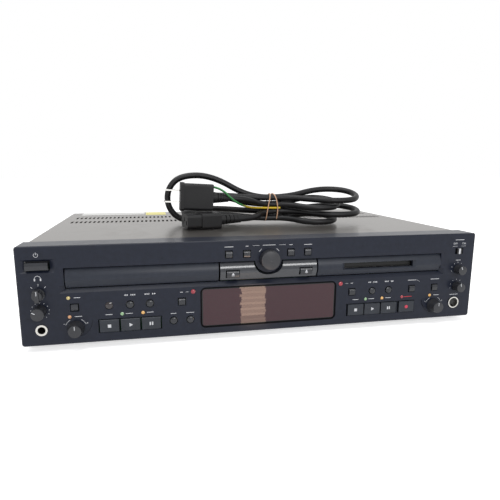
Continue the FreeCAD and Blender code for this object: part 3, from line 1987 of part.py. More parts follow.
def cd_pickup():
    """The laser sled on its two rails."""
    high = BASE + s.loader_floor + s.loader_plate + 2
    half = s.pickup_width / 2
    start = s.disc_place + s.turntable_radius + 5.5
    sled = box("sled_block", (-half, 0, 0), (half, s.pickup_length, s.pickup_high))
    wings = box(
        "sled_wings",
        (-s.rail_spread / 2 - 4, 4, 1),
        (s.rail_spread / 2 + 4, s.pickup_length - 4, s.pickup_high - 1),
    )
    lens = rod("sled_lens", "z", (0, s.pickup_length / 2, s.pickup_high - 1), 3, 3.5)
    rails = [
        rod(
            f"sled_bore_{side + 1}",
            "y",
            (side * s.rail_spread / 2, -1, s.pickup_high / 2),
            s.pickup_length + 2,
            s.rail_radius + s.running_gap,
        )
        for side in (-1, 1)
    ]
    sled = cut("sled_bored", join("sled_solid", sled, wings, lens), *rails)
    node(sled, "cd_pickup", TRAY_MIDDLE, start, high)


# Minidisc drive


def md_drive():
    """The drive: a metal box, open at the front for the cartridge, on two brackets."""
    half = s.drive_width / 2
    front, rear = s.drive_front, s.drive_front + s.drive_length
    low, high = BASE + s.drive_low, BASE + s.drive_high
    x = s.slot_x
    slot_half = s.slot_width / 2
    slot_low = BASE + s.slot_z - s.slot_height / 2
    slot_high = BASE + s.slot_z + s.slot_height / 2
    body = box("drive_body", (x - half, front, low), (x + half, rear, high))
    mouth = box(
        "drive_mouth",
        (x - slot_half, front - 1, slot_low),
        (x + slot_half, front + s.drive_slot_depth, slot_high),
    )
    legs = [
        box(f"drive_leg_{number}", (leg_x, y, FLOOR), (leg_x + s.drive_leg, y + s.drive_leg, low + 1))
        for number, (leg_x, y) in enumerate(
            (
                (x - half, front + s.drive_length * 0.25),
                (x + half - s.drive_leg, front + s.drive_length * 0.25),
                (x - half, rear - s.drive_leg),
                (x + half - s.drive_leg, rear - s.drive_leg),
            )
        )
    ]
    node(cut("md_drive", join("drive_solid", body, *legs), mouth), "md_drive")


# Mains lead


class Route:
    """A centre line made of straight stretches and arcs, each tangent to the one before."""

    def __init__(self, start, heading):
        self.end = start
        self.heading = heading.normalize()
        self.edges = []

    def straight(self, length):
        """Go on in the same direction."""
        ahead = self.end + self.heading * length
        self.edges.append(Part.LineSegment(self.end, ahead).toShape())
        self.end = ahead

    def bend(self, target):
        """Go to a point along the arc that leaves in the present direction."""
        chord = target - self.end
        side = chord - self.heading * chord.dot(self.heading)
        half = self.heading.getAngle(chord)
        if half < 1e-5:
            return self.straight(chord.Length)
        side.normalize()
        radius = chord.Length / 2 / math.sin(half)
        centre = self.end + side * radius
        middle = centre + (self.heading * math.sin(half) - side * math.cos(half)) * radius
        self.edges.append(Part.Arc(self.end, middle, target).toShape())
        self.heading = (self.heading * math.cos(2 * half) + side * math.sin(2 * half)).normalize()
        self.end = target

    def to(self, target, heading):
        """Go to a point and arrive in a given direction, by two arcs of one size."""
        gap = target - self.end
        total = self.heading + heading
        spare = 2 * (1 - self.heading.dot(heading))
        along = gap.dot(total)
        if spare > 1e-9:
            reach = (math.sqrt(along * along + spare * gap.dot(gap)) - along) / spare
        else:
            reach = gap.dot(gap) / (4 * gap.dot(heading))
        joint = (self.end + self.heading * reach + target - heading * reach) * 0.5
        self.bend(joint)
        self.bend(target)
        self.heading = heading

    def points(self, step):
        """Points along the centre line."""
        places = []
        for edge in self.edges:
            places += edge.discretize(Number=max(2, round(edge.Length / step)))
        return places


def tube(name, route, radius):
    """One unbroken tube round a route."""
    spine = Part.Wire(route.edges)
    start = spine.OrderedVertexes[0].Point
    ring = Part.Wire(
        Part.Circle(start, route.edges[0].tangentAt(route.edges[0].FirstParameter), radius).toShape()
    )
    shell = Part.BRepOffsetAPI.MakePipeShell(spine)
    shell.add(ring)
    shell.build()
    shell.makeSolid()
    item = DOC.addObject("Part::Feature", name)
    item.Shape = shell.shape()
    return item


def waist_slot(side, row):
    """The middle of one strand where the bands hold it: side -1 is nearer the front, 1 the back."""
    y = s.waist_y.value + side * s.strand_step.value / 2
    return FreeCAD.Vector(
        s.waist_x.value,
        y,
        BASE.value + s.waist_low.value + row * s.strand_rise.value,
    )


def leaning(degrees):
    """A direction across the deck, raised at the back by an angle."""
    angle = math.radians(degrees)
    return FreeCAD.Vector(0, math.cos(angle), math.sin(angle))


def fold(route, centre, radius, first, out, slot):
    """Go out to a fold, round its half turn, and back into the waist."""
    route.to(centre + first * radius, out)
    route.to(centre - first * radius, -out)
    route.to(slot, -out)


def right_fold(route, row, side):
    """A fold at the right: from one strand of a row to the other."""
    tilt = s.fan_tilt.value + row * s.fan_spread.value
    radius = s.fold_radius.value
    reach = SIZES[f"right_reach_{row}"]
    rest = BASE.value + s.cover_top.value + s.lead_rest.value + s.lead_radius.value
    height = rest + row * s.fan_rise.value + radius * math.sin(math.radians(tilt))
    centre = FreeCAD.Vector(reach - radius, s.waist_y.value - s.fan_forward.value, height)
    fold(route, centre, radius, leaning(tilt) * side, X_DIR, waist_slot(-side, row))


def left_fold(route, height, tilt, side, slot):
    """A low fold at the left, behind the plug and the connector."""
    radius = s.fold_radius.value
    centre = FreeCAD.Vector(s.left_reach.value + radius, s.left_back.value, BASE.value + height)
    fold(route, centre, radius, leaning(tilt) * side, -X_DIR, slot)


def hank_route():
    """The lead from its plug to its connector: four folds at the right and three at the left."""
    front, back = -1, 1
    route = Route(
        FreeCAD.Vector(s.plug_x.value, s.plug_y.value, BASE.value + s.plug_z.value),
        FreeCAD.Vector(1, 0, -s.plug_slope.value),
    )
    route.straight(2 * s.lead_radius.value + 0.5)
    route.to(waist_slot(front, 2), X_DIR)
    right_fold(route, 2, front)
    left_fold(route, s.left_upper.value, -s.left_upper_tilt.value, back, waist_slot(front, 3))
    right_fold(route, 3, front)
    radius = s.tall_fold_radius.value
    middle = FreeCAD.Vector(
        s.tall_reach.value + radius,
        s.tall_back.value,
        BASE.value + s.tall_middle.value,
    )
    fold(route, middle, radius, leaning(90 - s.tall_lean.value), -X_DIR, waist_slot(back, 0))
    right_fold(route, 0, back)
    left_fold(route, s.left_lower.value, s.left_lower_tilt.value, front, waist_slot(back, 1))
    right_fold(route, 1, back)
    heading = FreeCAD.Vector(-1, -s.connector_turn.value, 0).normalize()
    end = FreeCAD.Vector(s.connector_x.value, s.connector_y.value, BASE.value + s.connector_z.value)
    last = 2 * s.lead_radius.value + 0.5
    route.to(end - heading * last, heading)
    route.straight(last)
    return route


def least_gap(places, radius, apart):
    """The least clear distance between stretches of one tube that lie some length apart along it."""
    along = [0.0]
    for before, after in zip(places, places[1:]):
        along.append(along[-1] + (after - before).Length)
    nearest = math.inf
    for first, place in enumerate(places):
        for second in range(first + 1, len(places)):
            if along[second] - along[first] > apart:
                nearest = min(nearest, place.distanceToPoint(places[second]))
    return nearest - 2 * radius


# The short earth wire, from the plug's back over the strands and in under the bands
EARTH_POINTS = (
    (-36.8, 107.5, 131.5),
    (-28, 104, 130),
    (-14.5, 101.2, 116),
    (0, 110, 109),
    (17, 120, 106.2),
    (45, 120.3, 106),
)


def earth_route():
    """Straight runs with an arc at each point."""
    places = [FreeCAD.Vector(x, y, BASE.value + z) for x, y, z in EARTH_POINTS]
    runs = [(after - before).Length for before, after in zip(places, places[1:])]
    route = Route(places[0], places[1] - places[0])
    for number in range(1, len(places) - 1):
        before = (places[number] - places[number - 1]).normalize()
        after = (places[number + 1] - places[number]).normalize()
        setback = 0.45 * min(runs[number - 1], runs[number])
        start = places[number] - before * setback
        route.straight((start - route.end).Length)
        route.bend(places[number] + after * setback)
        route.heading = after
    route.straight((places[-1] - route.end).Length)
    return route


def mains_cord():
    """The wound lead and its earth wire."""
    route = hank_route()
    lead = tube("lead_tube", route, s.lead_radius.value)
    earth = tube("earth_wire", earth_route(), s.earth_radius.value)
    node(group("mains_cord", lead, earth), "mains_cord")
    length = sum(edge.Length for edge in route.edges)
    gap = least_gap(route.points(2), s.lead_radius.value, 30)
    arcs = [edge.Curve.Radius for edge in route.edges if hasattr(edge.Curve, "Radius")]
    print(
        f"lead: {length:.0f} mm long, least radius {min(arcs):.1f} mm, least gap to itself {gap:.2f} mm"
    )


def ribbed_relief(name, length, radius):
    """A strain relief that tapers to the lead, with ring grooves."""
    cone = rod(name + "_cone", "x", (-length, 0, 0), length, radius, s.lead_radius + 0.7)
    rings = []
    for number in range(4):
        place = -length * (0.2 + 0.17 * number)
        ring = cut(
            f"{name}_ring_{number}",
            rod(f"{name}_ring_rim_{number}", "x", (place, 0, 0), 1.2, radius + 1),
            rod(f"{name}_ring_core_{number}", "x", (place - 1, 0, 0), 4, s.lead_radius + 0.4),
        )
        gap = box(f"{name}_web_{number}", (place - 1, -1.5, -radius - 1), (place + 3, 1.5, radius + 1))
        rings.append(cut(f"{name}_groove_{number}", ring, gap))
    return cut(name, cone, *rings)


def block(name, start, end, half_y, half_z, corner):
    """A block along X with rounded long edges, from an outline across it."""
    body = pad(
        name,
        "YZ_Plane",
        rounded(-half_y, -half_z, half_y, half_z, corner),
        end - start,
        {side: corner for side in (1, 3, 5, 7)},
    )
    return move(body, start, 0, 0)


def aim(item, name, place, heading):
    """Name a piece of the lead, turn its X axis and carry it to its place."""
    item.Placement = FreeCAD.Placement(FreeCAD.Vector(), FreeCAD.Rotation(X_DIR, heading))
    node(item, name, *place)


def mains_plug():
    """The moulded plug: a face flange, a body, a ribbed relief and two blades."""
    back = -s.plug_relief
    face = back - s.plug_length
    half_y, half_z = s.plug_thick / 2, s.plug_height / 2
    flange = block("plug_face", face, face + s.plug_flange, half_y, half_z, s.plug_corner)
    body = block("plug_body", face + 1, back, half_y - s.plug_step, half_z - s.plug_step, s.plug_corner)
    blades = [
        box(
            f"blade_{number}",
            (face - s.blade_length, -s.blade_width / 2, side * s.blade_pitch / 2 - s.blade_thick / 2),
            (face + 2, s.blade_width / 2, side * s.blade_pitch / 2 + s.blade_thick / 2),
        )
        for number, side in enumerate((-1, 1))
    ]
    solid = join(
        "plug_solid",
        flange,
        body,
        ribbed_relief("plug_neck", s.plug_relief, s.plug_relief_radius),
        *blades,
    )
    place = (s.plug_x, s.plug_y, BASE + s.plug_z)
    aim(solid, "mains_plug", place, FreeCAD.Vector(1, 0, -s.plug_slope.value))


def appliance_connector():
    """The three-pole connector, with its contact slots in the nose."""
    back = -s.connector_relief
    face = back - s.connector_length
    half_y, half_z = s.connector_width / 2, s.connector_thick / 2
    step = s.connector_step
    nose = block(
        "connector_nose",
        face,
        face + s.connector_nose + 1,
        half_y - step,
        half_z - step,
        s.plug_corner,
    )
    body = block("connector_body", face + s.connector_nose, back, half_y, half_z, s.plug_corner)
    slots = [
        box(
            f"contact_{number}",
            (face - 1, shift * s.contact_pitch - s.contact_thick / 2, lift - s.contact_width / 2),
            (
                face + s.contact_deep,
                shift * s.contact_pitch + s.contact_thick / 2,
                lift + s.contact_width / 2,
            ),
        )
        for number, (shift, lift) in enumerate(((-1, -1.5), (0, 2), (1, -1.5)))
    ]
    neck = ribbed_relief("connector_neck", s.connector_relief, s.connector_relief_radius)
    solid = cut("connector_cut", join("connector_solid", nose, body, neck), *slots)
    place = (s.connector_x, s.connector_y, BASE + s.connector_z)
    aim(solid, "appliance_connector", place, FreeCAD.Vector(1, s.connector_turn.value, 0))


def build():
    """Make every sub-part."""
    fill_sheet()
    front_panel()
    centre_trim()
    md_plate()
    md_flap()
    display_window()
    lamps()
    buttons()
    power_button()
    knobs()
    push_shafts()
    slide_switch()
    front_sockets()
    top_cover()
    chassis()
    feet()
    screws()
    rear_sockets()
    circuit_boards()
    power_transformer()
    tray_front()
    cd_tray()
    tray_gear()
    cd_loader_frame()
    cd_turntable()
    cd_pickup()
    md_drive()
    mains_cord()
    mains_plug()
    appliance_connector()


def check():
    """Stop on any failed object, or on a sub-part without a sound shape."""
    for item in DOC.Objects:
        if {"Invalid", "Error"} & set(item.State):
            raise SystemExit(f"{item.Name} failed: {item.State}")
    for item in NODES:
        if item.Shape.isNull() or not item.Shape.isValid() or not item.Shape.Solids:
            raise SystemExit(f"{item.Label} has no sound shape")


def export():
    """Write each sub-part to its own file."""
    os.makedirs("parts", exist_ok=True)
    for item in NODES:
        item.Shape.exportStep(f"parts/{item.Label}.step")


build()
DOC.recompute()
check()
export()
for item in NODES:
    print(f"{item.Label}: {len(item.Shape.Solids)} solids, {item.Shape.Volume / 1000:.2f} cm3")
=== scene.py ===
import logging
import math
from dataclasses import dataclass, field
from enum import Enum

import bpy
from bpy.types import Material, Node, NodeSocket as Socket, NodeTree, Object as Item, World
from mathutils import Matrix, Vector


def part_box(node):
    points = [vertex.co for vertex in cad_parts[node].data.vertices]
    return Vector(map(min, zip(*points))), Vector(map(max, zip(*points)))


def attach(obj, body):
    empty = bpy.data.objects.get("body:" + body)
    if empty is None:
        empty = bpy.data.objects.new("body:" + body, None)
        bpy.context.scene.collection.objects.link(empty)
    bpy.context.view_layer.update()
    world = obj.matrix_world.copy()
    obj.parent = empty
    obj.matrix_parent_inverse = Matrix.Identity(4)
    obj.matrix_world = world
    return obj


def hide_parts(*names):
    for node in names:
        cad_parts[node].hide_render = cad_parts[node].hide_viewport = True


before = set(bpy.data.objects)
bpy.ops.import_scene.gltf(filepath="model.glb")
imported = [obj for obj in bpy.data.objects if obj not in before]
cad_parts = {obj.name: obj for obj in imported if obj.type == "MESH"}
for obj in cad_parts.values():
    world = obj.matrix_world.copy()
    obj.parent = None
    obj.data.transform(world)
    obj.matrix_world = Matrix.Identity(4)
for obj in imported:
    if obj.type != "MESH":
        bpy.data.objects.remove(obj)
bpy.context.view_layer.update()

LOG = logging.getLogger("deck")
# Lengths are in millimetres of the deck, except where metres are named
MM = 0.001
FACE_TO_MIDDLE = 143.5  # from the panel's front face back to the middle of the whole object
FOOT_HEIGHT = 6.0
Colour = tuple[float, float, float]
Place = tuple[float, float, float]
Pair = tuple[float, float]


def at(x: float, y: float, z: float) -> Vector:
    """A point in metres in the row frame, from X, Y behind the panel's front and Z above its lower edge."""
    return Vector((x * MM, (y - FACE_TO_MIDDLE) * MM, (z + FOOT_HEIGHT) * MM))


def front_of(node: str) -> Place:
    """Find where a control's sign or pointer goes.

    Args:
        node: The control's node.

    Returns:
        Its middle along X and Z, with its front's Y between them.
    """
    low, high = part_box(node)
    middle = (low + high) / 2
    return middle.x / MM, low.y / MM + FACE_TO_MIDDLE, middle.z / MM - FOOT_HEIGHT


def start_clean() -> None:
    """Leave edit mode and deselect everything."""
    if bpy.context.object and bpy.context.object.mode != "OBJECT":
        bpy.ops.object.mode_set(mode="OBJECT")
    bpy.ops.object.select_all(action="DESELECT")


def close_mesh() -> None:
    """Turn the faces of the mesh that is open outwards and leave edit mode."""
    bpy.ops.mesh.select_all(action="SELECT")
    bpy.ops.mesh.normals_make_consistent(inside=False)
    bpy.ops.object.mode_set(mode="OBJECT")


def pick(item: Item) -> Item:
    """Select one object alone and make it the active one.

    Args:
        item: The object.

    Returns:
        The same object.
    """
    start_clean()
    item.select_set(True)
    bpy.context.view_layer.objects.active = item
    return item


def settle(item: Item, name: str, material: Material, body: str) -> Item:
    """Name a finished mesh, put its place into its mesh, dress it and let it ride.

    Args:
        item: The finished mesh object.
        name: The piece's name.
        material: Its finish.
        body: The moving body that carries it.

    Returns:
        The same object.
    """
    pick(item)
    bpy.ops.object.transform_apply(location=True, rotation=True, scale=True)
    item.name = name
    item.data.materials.clear()
    item.data.materials.append(material)
    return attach(item, body)


# Shader effects that several finishes share


class Effect(Enum):
    """The shared shader groups."""

    GRAIN = "fine_grain"
    SMUDGE = "soft_smudge"
    REGION = "box_region"
    ROUND = "round_region"
    FLUTES = "knob_flutes"
    BRUSHED = "brushed_lines"


@dataclass
class Nodes:
    """A short way to lay out the nodes of one tree."""

    tree: NodeTree

    def feed(self, node: Node, inputs: dict) -> None:
        """Set a node's inputs, or link them to outputs.

        Args:
            node: The node.
            inputs: Sockets by name or number, each with a value or another node's output.
        """
        for socket, value in inputs.items():
            if isinstance(value, Socket):
                self.tree.links.new(value, node.inputs[socket])
            else:
                node.inputs[socket].default_value = value

    def add(self, kind: str, inputs: dict | None = None, **settings: object) -> Node:
        """Add one node, set it up and feed it.

        Args:
            kind: The node's type.
            inputs: What it is fed.
            **settings: Properties of the node itself.

        Returns:
            The new node.
        """
        made = self.tree.nodes.new(kind)
        for name, value in settings.items():
            setattr(made, name, value)
        self.feed(made, inputs or {})
        return made

    def math(self, operation: str, *values: object, clamp: bool = False) -> Socket:
        """One step of arithmetic on numbers or outputs, on request kept between 0 and 1."""
        inputs = dict(enumerate(values))
        return self.add("ShaderNodeMath", inputs, operation=operation, use_clamp=clamp).outputs[0]

    def vector(self, operation: str, *values: object) -> Node:
        """One step of arithmetic on vectors or outputs."""
        return self.add("ShaderNodeVectorMath", dict(enumerate(values)), operation=operation)

    def effect(self, effect: Effect, inputs: dict) -> Node:
        """Place one shared group with its inputs."""
        return self.add("ShaderNodeGroup", inputs, node_tree=bpy.data.node_groups[effect.value])

    def mix(self, share: object, first: object, second: object, colours: bool = True) -> Socket:
        """Blend two colours or two plain values.

        Args:
            share: 0 for the first, 1 for the second.
            first: A colour or a number, or an output.
            second: The same for the other end.
            colours: Whether they are colours.

        Returns:
            The blend's socket.
        """
        if not colours:
            return self.add("ShaderNodeMix", {0: share, 2: first, 3: second}, data_type="FLOAT").outputs[0]
        ends = [end if isinstance(end, Socket) else (*end, 1) for end in (first, second)]
        return self.add("ShaderNodeMix", {0: share, 6: ends[0], 7: ends[1]}, data_type="RGBA").outputs[2]

    def seen(self) -> Socket:
        """Tell the rays that show a surface from those that only light by it.

        Returns:
            1 for rays from the camera, from a mirror or through a lens, 0 for the rest.
        """
        rays = self.add("ShaderNodeLightPath")
        seen = self.math("MAXIMUM", rays.outputs["Is Camera Ray"], rays.outputs["Is Transmission Ray"])
        return self.math("MAXIMUM", seen, rays.outputs["Is Glossy Ray"])


def open_tree(owner: Material | World, shader: str) -> tuple[Nodes, Node]:
    """Start on the nodes of a material or a world, with the shader that it comes with."""
    owner.use_nodes = True
    return Nodes(owner.node_tree), owner.node_tree.nodes[shader]


POINT = (0, 0, 0)  # the starting value that marks an input as a vector
Group = tuple[Nodes, dict[str, Socket], Node]


def group_tree(effect: Effect, inputs: dict[str, object], outputs: tuple[str, ...]) -> Group:
    """Start one shared shader group.

    Args:
        effect: The group's name.
        inputs: Input names, each with its starting value, a number or a vector.
        outputs: Output names, all plain values.

    Returns:
        The node layout, the input sockets by name, and the group's output node.
    """
    tree = bpy.data.node_groups.new(effect.value, "ShaderNodeTree")
    for name, value in inputs.items():
        kind = "NodeSocketVector" if value is POINT else "NodeSocketFloat"
        tree.interface.new_socket(name, in_out="INPUT", socket_type=kind).default_value = value
    for name in outputs:
        tree.interface.new_socket(name, in_out="OUTPUT", socket_type="NodeSocketFloat")
    nodes = Nodes(tree)
    start = nodes.add("NodeGroupInput")
    return nodes, {name: start.outputs[name] for name in inputs}, nodes.add("NodeGroupOutput")


def from_line(nodes: Nodes, given: dict) -> tuple[Socket, Socket]:
    """Measure from a line that runs straight into the deck.

    Args:
        nodes: The group's nodes.
        given: Its input sockets, with Point and Middle.

    Returns:
        The way from the middle to the point, and the point's distance from the line.
    """
    away = nodes.vector("SUBTRACT", given["Point"], given["Middle"]).outputs[0]
    flat = nodes.vector("MULTIPLY", away, (1, 0, 1)).outputs[0]
    return away, nodes.vector("LENGTH", flat).outputs[1]


def grain_group() -> None:
    """Moulded or sprayed grain: a tone and a height from two sizes of noise."""
    nodes, given, end = group_tree(Effect.GRAIN, {"Point": POINT, "Scale": 2500}, ("Tone", "Height"))
    point, scale = given["Point"], given["Scale"]
    fine = nodes.add("ShaderNodeTexNoise", {"Vector": point, "Scale": scale, "Detail": 3.0, "Roughness": 0.6})
    coarse = nodes.math("MULTIPLY", scale, 0.08)
    wide = nodes.add("ShaderNodeTexNoise", {"Vector": point, "Scale": coarse, "Detail": 2.0})
    parts = [nodes.math("MULTIPLY", part.outputs[0], share) for part, share in ((fine, 0.45), (wide, 0.55))]
    nodes.feed(end, {"Tone": nodes.math("ADD", *parts), "Height": fine.outputs[0]})


def smudge_group() -> None:
    """Handling marks and dust: soft uneven patches."""
    inputs = {"Point": POINT, "Scale": 30, "Spread": 0.5}
    nodes, given, end = group_tree(Effect.SMUDGE, inputs, ("Mask",))
    shape = {"Detail": 5.0, "Roughness": 0.65, "Distortion": 0.4}
    noise = nodes.add("ShaderNodeTexNoise", {"Vector": given["Point"], "Scale": given["Scale"], **shape})
    low = nodes.math("SUBTRACT", 0.72, nodes.math("MULTIPLY", given["Spread"], 0.4))
    limits = {"Value": noise.outputs[0], "From Min": low, "From Max": 0.8}
    mask = nodes.add("ShaderNodeMapRange", limits, interpolation_type="SMOOTHSTEP")
    nodes.feed(end, {"Mask": mask.outputs[0]})


def region_group() -> None:
    """1 inside an upright block, 0 outside it."""
    nodes, given, end = group_tree(Effect.REGION, {"Point": POINT, "Middle": POINT, "Half": POINT}, ("Mask",))
    away = nodes.vector("SUBTRACT", given["Point"], given["Middle"]).outputs[0]
    size = nodes.vector("ABSOLUTE", away).outputs[0]
    left = nodes.vector("SUBTRACT", given["Half"], size).outputs[0]
    parts = nodes.add("ShaderNodeSeparateXYZ", {0: left}).outputs
    least = nodes.math("MINIMUM", nodes.math("MINIMUM", parts[0], parts[1]), parts[2])
    nodes.feed(end, {"Mask": nodes.math("GREATER_THAN", least, 0.0)})


def round_group() -> None:
    """1 within a radius of a line that runs straight into the deck, 0 outside it."""
    nodes, given, end = group_tree(Effect.ROUND, {"Point": POINT, "Middle": POINT, "Radius": 1}, ("Mask",))
    _, far = from_line(nodes, given)
    nodes.feed(end, {"Mask": nodes.math("LESS_THAN", far, given["Radius"])})


def flutes_group() -> None:
    """Fine ribs round a knob's side, about a line that runs straight into the deck."""
    inputs = {"Point": POINT, "Middle": POINT, "Count": 40, "Inner": 0.004}
    nodes, given, end = group_tree(Effect.FLUTES, inputs, ("Height",))
    away, far = from_line(nodes, given)
    parts = nodes.add("ShaderNodeSeparateXYZ", {0: away}).outputs
    angle = nodes.math("ARCTAN2", parts[2], parts[0])
    wave = nodes.math("SINE", nodes.math("MULTIPLY", angle, given["Count"]))
    side = nodes.math("GREATER_THAN", far, given["Inner"])
    nodes.feed(end, {"Height": nodes.math("MULTIPLY", wave, side)})


def brushed_group() -> None:
    """Rolled or brushed metal: long fine lines along X."""
    nodes, given, end = group_tree(Effect.BRUSHED, {"Point": POINT, "Scale": 900}, ("Tone",))
    thin = nodes.vector("MULTIPLY", given["Point"], (0.03, 1, 1)).outputs[0]
    noise = nodes.add("ShaderNodeTexNoise", {"Vector": thin, "Scale": given["Scale"], "Detail": 4.0})
    nodes.feed(end, {"Tone": noise.outputs[0]})


# Finishes


TONE_RANGE = {"From Min": 0.3, "From Max": 0.7}  # what the grain's tone really spans
BUMP_DISTANCE = 0.00006
BRUSHED_SCALE = 900.0
STREAK_SCALE = 1400.0


class Form(Enum):
    """How a patch of another finish is bounded."""

    BLOCK = "block"
    ROUND = "round"


@dataclass(frozen=True)
class Patch:
    """A patch of another colour on a piece, bounded by a block or by a round line into the deck."""

    middle: Vector
    half: Place
    colour: Colour
    rough: float = 0.4
    metal: float = 0.0
    form: Form = Form.BLOCK

    def mask(self, nodes: Nodes, point: Socket) -> Socket:
        """Find the patch on the surface.

        Args:
            nodes: The material's nodes.
            point: The place on the piece.

        Returns:
            1 inside the patch, 0 outside it.
        """
        inputs = {"Point": point, "Middle": self.middle}
        if self.form is Form.ROUND:
            return nodes.effect(Effect.ROUND, {**inputs, "Radius": self.half[0] * MM}).outputs[0]
        return nodes.effect(Effect.REGION, {**inputs, "Half": Vector(self.half) * MM}).outputs[0]


@dataclass(frozen=True)
class Finish:
    """One finish: its colour and gloss, its grain, its smudges, and patches of other colours."""

    name: str
    colour: Colour
    rough: float = 0.45
    metal: float = 0.0
    specular: float = 0.4
    coat: float = 0.0
    coat_rough: float = 0.1
    grain: float = 2500
    depth: float = 0.15
    tone: float = 0.25
    smudge: float = 0.06
    smudge_scale: float = 28
    brushed: float = 0.0
    flutes: int = 0
    flute_middle: Vector = field(default_factory=Vector)
    flute_inner: float = 0.004
    streaks: float = 0.0
    patches: tuple[Patch, ...] = ()

    def make(self) -> Material:
        """Build the material, once.

        Returns:
            The material of this finish.
        """
        known = bpy.data.materials.get(self.name)
        if known:
            return known
        material = bpy.data.materials.new(self.name)
        material.diffuse_color = (*self.colour, 1)
        nodes, shader = open_tree(material, "Principled BSDF")
        point = nodes.add("ShaderNodeTexCoord").outputs["Object"]
        grain = nodes.effect(Effect.GRAIN, {"Point": point, "Scale": self.grain})
        smudge = nodes.effect(Effect.SMUDGE, {"Point": point, "Scale": self.smudge_scale, "Spread": 0.5})
        tone = grain.outputs["Tone"]
        if self.brushed:
            lines = nodes.effect(Effect.BRUSHED, {"Point": point, "Scale": BRUSHED_SCALE}).outputs[0]
            grainy = nodes.math("MULTIPLY", tone, 1 - self.brushed)
            tone = nodes.math("ADD", grainy, nodes.math("MULTIPLY", lines, self.brushed))
        spread = nodes.add("ShaderNodeMapRange", {"Value": tone, **TONE_RANGE})
        dark = tuple(c * (1 - self.tone) for c in self.colour)
        light = tuple(min(1.0, c * (1 + self.tone)) for c in self.colour)
        colour = nodes.mix(spread.outputs[0], dark, light)
        limits = {"To Min": self.rough * 0.9, "To Max": self.rough * 1.1}
        rough = nodes.add("ShaderNodeMapRange", {"Value": tone, **TONE_RANGE, **limits}).outputs[0]
        rough = nodes.math("ADD", rough, nodes.math("MULTIPLY", smudge.outputs[0], self.smudge), clamp=True)
        metal: object = self.metal
        for patch in self.patches:
            mask = patch.mask(nodes, point)
            colour = nodes.mix(mask, colour, patch.colour)
            rough = nodes.mix(mask, rough, patch.rough, colours=False)
            metal = nodes.mix(mask, metal, patch.metal, colours=False)
        bump = {"Height": self.height(nodes, point, grain), "Strength": self.depth, "Distance": BUMP_DISTANCE}
        normal = nodes.add("ShaderNodeBump", bump).outputs[0]
        nodes.feed(shader, {"Base Color": colour, "Roughness": rough, "Normal": normal, "Metallic": metal})
        coat = {"Coat Weight": self.coat, "Coat Roughness": self.coat_rough}
        nodes.feed(shader, {"Specular IOR Level": self.specular, **coat})
        return material

    def height(self, nodes: Nodes, point: Socket, grain: Node) -> Socket:
        """The fine relief: grain, a knob's ribs and streaks.

        Args:
            nodes: The material's nodes.
            point: The place on the piece.
            grain: The grain's group node.

        Returns:
            The height's socket.
        """
        height = grain.outputs["Height"]
        if self.flutes:
            about = {"Middle": self.flute_middle, "Count": float(self.flutes), "Inner": self.flute_inner}
            ribs = nodes.effect(Effect.FLUTES, {"Point": point, **about}).outputs[0]
            height = nodes.math("ADD", nodes.math("MULTIPLY", height, 0.2), nodes.math("MULTIPLY", ribs, 3.0))
        if self.streaks:
            lines = nodes.effect(Effect.BRUSHED, {"Point": point, "Scale": STREAK_SCALE}).outputs[0]
            height = nodes.math("ADD", height, nodes.math("MULTIPLY", lines, self.streaks))
        return height


def dress(finish: Finish, *names: str) -> None:
    """Give carried-over nodes one finish.

    Args:
        finish: The finish.
        *names: The nodes' names.
    """
    for name in names:
        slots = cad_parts[name].data.materials
        slots.clear()
        slots.append(finish.make())


AMBER: Colour = (0.75, 0.42, 0.12)
GREEN: Colour = (0.25, 0.42, 0.22)
RED: Colour = (0.3, 0.012, 0.03)
BRIGHT: Colour = (0.5, 0.49, 0.46)
PRINT: Colour = (0.62, 0.63, 0.65)
INK: Colour = (0.012, 0.015, 0.026)
BLACK: Colour = (0.012, 0.012, 0.012)
DARK_RED: Colour = (0.35, 0.01, 0.025)
LENS: Colour = (0.045, 0.014, 0.02)
PHONO_RED: Colour = (0.55, 0.02, 0.02)
PHONO_WHITE: Colour = (0.8, 0.8, 0.78)
PALE_INK = Finish("print_pale", PRINT, rough=0.6, tone=0.08)
LETTER_SIZE = 2.6
LETTER_HALF = 0.05  # half of the letters' thickness


# Printed marks


